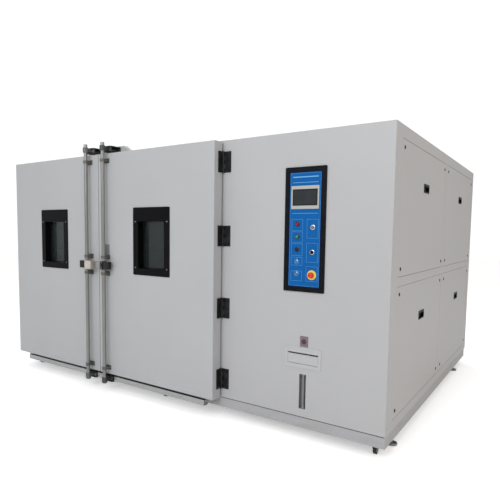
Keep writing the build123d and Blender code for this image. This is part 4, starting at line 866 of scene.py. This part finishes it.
# %% Rings, lamps and the yellow plate
LEFT_COLUMN, RIGHT_COLUMN = CONTROL_X - 0.056, CONTROL_X + 0.062
button_zs = [node_middle(f"{name}_button").z for name in ("stop", "start", "reset")]
lamp_zs = [button_zs[-1] - 0.085, button_zs[-1] - 0.169]
switch_zs = [node_middle("key_switch").z, node_middle("selector_knob").z]
device_ring = [(0.0114, 0.0), (0.0114, 0.0038), (0.0122, 0.0045), (0.0142, 0.0045), (0.0178, 0.0026), (0.0182, 0.0)]
lamp_ring = [(0.0088, 0.0), (0.0088, 0.003), (0.0110, 0.0022), (0.0116, 0.0)]
lamp_lens = [(0.0085, 0.0), (0.0085, 0.0030), (0.0074, 0.0052), (0.0045, 0.0068), (0.0, 0.0074)]
stop_ring = [(0.0095, 0.0), (0.0095, 0.0015), (0.0330, 0.0015), (0.0340, 0.0008), (0.0340, 0.0)]


def finish_turned(name, profile, x, heights, steps, material):
    """The same turned part on the fascia at several heights."""
    bm = bmesh.new()
    for z in heights:
        add_turned(bm, profile, (x, PLATE_Y, z), "-Y", steps)
    return finish_piece(name, bm, material, "chamber")


rings = finish_turned("button_rings", device_ring, LEFT_COLUMN, button_zs, 32, dark_ring)
finish_turned("switch_rings", device_ring, RIGHT_COLUMN, switch_zs, 32, chrome_ring)
finish_turned("lamp_rings", lamp_ring, LEFT_COLUMN, lamp_zs, 24, chrome_ring)
bm = bmesh.new()
for z in lamp_zs:
    add_ring(bm, (LEFT_COLUMN, PLATE_Y, z), "-Y", 0.0190, 0.0009)
finish_piece("lamp_outlines", bm, print_blue, "chamber")
finish_turned("lamp_lenses", lamp_lens, LEFT_COLUMN, lamp_zs, 24, lamp_blue)
stop_z = node_middle("emergency_stop").z
finish_turned("stop_plate", stop_ring, RIGHT_COLUMN, [stop_z], 48, stop_yellow)
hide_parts("control_bezels")

# %% [markdown]
# ## Light, floor and camera
# The photograph shows the object on white. A pale floor that glows a little for the camera alone gives the same, and
# still takes the soft shadow under the base.

# %% Floor
FLOOR_GLOW = 0.45  # seen by the camera only, so that the floor is as white as the photograph's
scene = bpy.context.scene
scene.view_settings.view_transform = "Standard"
scene.view_settings.look = "None"
bm = bmesh.new()
bmesh.ops.create_grid(bm, x_segments=4, y_segments=4, size=30.0)
mesh = bpy.data.meshes.new("studio_floor")
bm.to_mesh(mesh)
bm.free()
floor = bpy.data.objects.new("studio_floor", mesh)
scene.collection.objects.link(floor)
floor_paint, tree, shader = start_material("studio_floor")
cloud = noise(tree, object_point(tree), 0.6, 2.0)
tree.links.new(mix_colour(tree, cloud, (0.90, 0.90, 0.90, 1), (0.93, 0.93, 0.93, 1)), shader.inputs["Base Color"])
shader.inputs["Roughness"].default_value = 0.9
shader.inputs["Emission Color"].default_value = (1, 1, 1, 1)
seen = tree.nodes.new("ShaderNodeLightPath").outputs["Is Camera Ray"]
tree.links.new(math_node(tree, "MULTIPLY", seen, FLOOR_GLOW), shader.inputs["Emission Strength"])
mesh.materials.append(floor_paint)
print("floor at height", min(vert.co.z for vert in mesh.vertices))

# %% [markdown]
# The light in the photograph is soft and comes from the left and above, and the right side is a little darker and
# warmer. The sky is warmer towards the right, four large area lights give the soft gloss, and a small one stands for
# the lamp in the room.

# %% World and lights
SKY_LIGHT, SKY_SEEN = 0.62, 1.05  # how bright the sky is as a light, and to the camera
WARM_SKY = (0.84, 0.74, 0.66, 1)
world = bpy.data.worlds.new("studio")
world.use_nodes = True
tree = world.node_tree
background = tree.nodes["Background"]
direction = tree.nodes.new("ShaderNodeTexCoord").outputs["Generated"]
across = add(tree, "ShaderNodeSeparateXYZ", Vector=direction).outputs[0]
seen = tree.nodes.new("ShaderNodeLightPath").outputs["Is Camera Ray"]
warm = math_node(tree, "MULTIPLY", fit(tree, across, 0.1, 0.9), math_node(tree, "SUBTRACT", 1.0, seen))
tree.links.new(mix_colour(tree, warm, (1.0, 1.0, 1.0, 1), WARM_SKY), background.inputs["Color"])
tree.links.new(mixed_value(tree, seen, SKY_LIGHT, SKY_SEEN), background.inputs["Strength"])
scene.world = world


def area_light(name, place, target, size, power, colour=(1, 1, 1)):
    """A large soft light aimed at a point."""
    data = bpy.data.lights.new(name, "AREA")
    data.shape = "RECTANGLE"
    data.size, data.size_y = size
    data.energy = power
    data.color = colour
    light = bpy.data.objects.new(name, data)
    light.location = place
    light.rotation_euler = (Vector(target) - Vector(place)).to_track_quat("-Z", "Y").to_euler()
    scene.collection.objects.link(light)


area_light("key", (1.2, -7.5, 5.0), (0.4, 0, 1.0), (5.0, 4.0), 215, (0.97, 0.985, 1.0))
area_light("fill", (6.5, -1.5, 2.6), (1.5, 0.2, 1.0), (4.0, 3.0), 42, (1.0, 0.93, 0.87))
area_light("top", (0, 0, 6.5), (0, 0, 1.0), (6.0, 6.0), 90)
area_light("back", (-4.0, 7.0, 4.5), (0, 0, 1.0), (5.0, 4.0), 130)
area_light("room_lamp", (lamp_x, lamp_y, ceiling - 0.06), (lamp_x, lamp_y, 0.0), (0.26, 0.12), 10, (1.0, 0.98, 0.94))
print("lights:", [light.name for light in bpy.data.lights])

# %% [markdown]
# The camera stands where a fit of the object's own edges to the photograph puts it: right of the doors, 1.5 m high,
# looking to the left and slightly down. A small shift stands for the photograph's crop.

# %% Camera
CAMERA_FROM_CORNER = Vector((0.8766, -3.0149, 1.3962))  # from the cabinet's front right corner at its base
PITCH, YAW, ROLL = 4.630, 34.433, 0.706
FOCAL_PIXELS = 475.03
PICTURE = 500.0
CENTRE_PIXEL = (235.44, 270.96)
SENSOR = 36.0


def camera_turn(pitch, yaw, roll):
    """The camera's right, up and back directions as the columns of a rotation."""
    p, y, r = (math.radians(a) for a in (pitch, yaw, roll))
    heading = Matrix(((math.cos(y), -math.sin(y), 0), (math.sin(y), math.cos(y), 0), (0, 0, 1)))
    level = Matrix(((1, 0, 0), (0, 0, -1), (0, 1, 0)))
    tilt = Matrix(((1, 0, 0), (0, math.cos(p), -math.sin(p)), (0, math.sin(p), math.cos(p))))
    spin = Matrix(((math.cos(r), -math.sin(r), 0), (math.sin(r), math.cos(r), 0), (0, 0, 1)))
    right, down, forward = spin @ tilt @ level @ heading.transposed()
    return Matrix((right, -down, -forward)).transposed()


camera_data = bpy.data.cameras.new("camera")
camera = bpy.data.objects.new("camera", camera_data)
scene.collection.objects.link(camera)
camera_data.sensor_width = SENSOR
camera_data.lens = SENSOR * FOCAL_PIXELS / PICTURE
camera_data.shift_x = (PICTURE / 2 - CENTRE_PIXEL[0]) / PICTURE
camera_data.shift_y = (CENTRE_PIXEL[1] - PICTURE / 2) / PICTURE
corner = Vector((RIGHT, FRONT, BASE))
camera.matrix_world = Matrix.Translation(corner + CAMERA_FROM_CORNER) @ camera_turn(PITCH, YAW, ROLL).to_4x4()
scene.camera = camera
print("camera at", [round(c, 3) for c in camera.location])
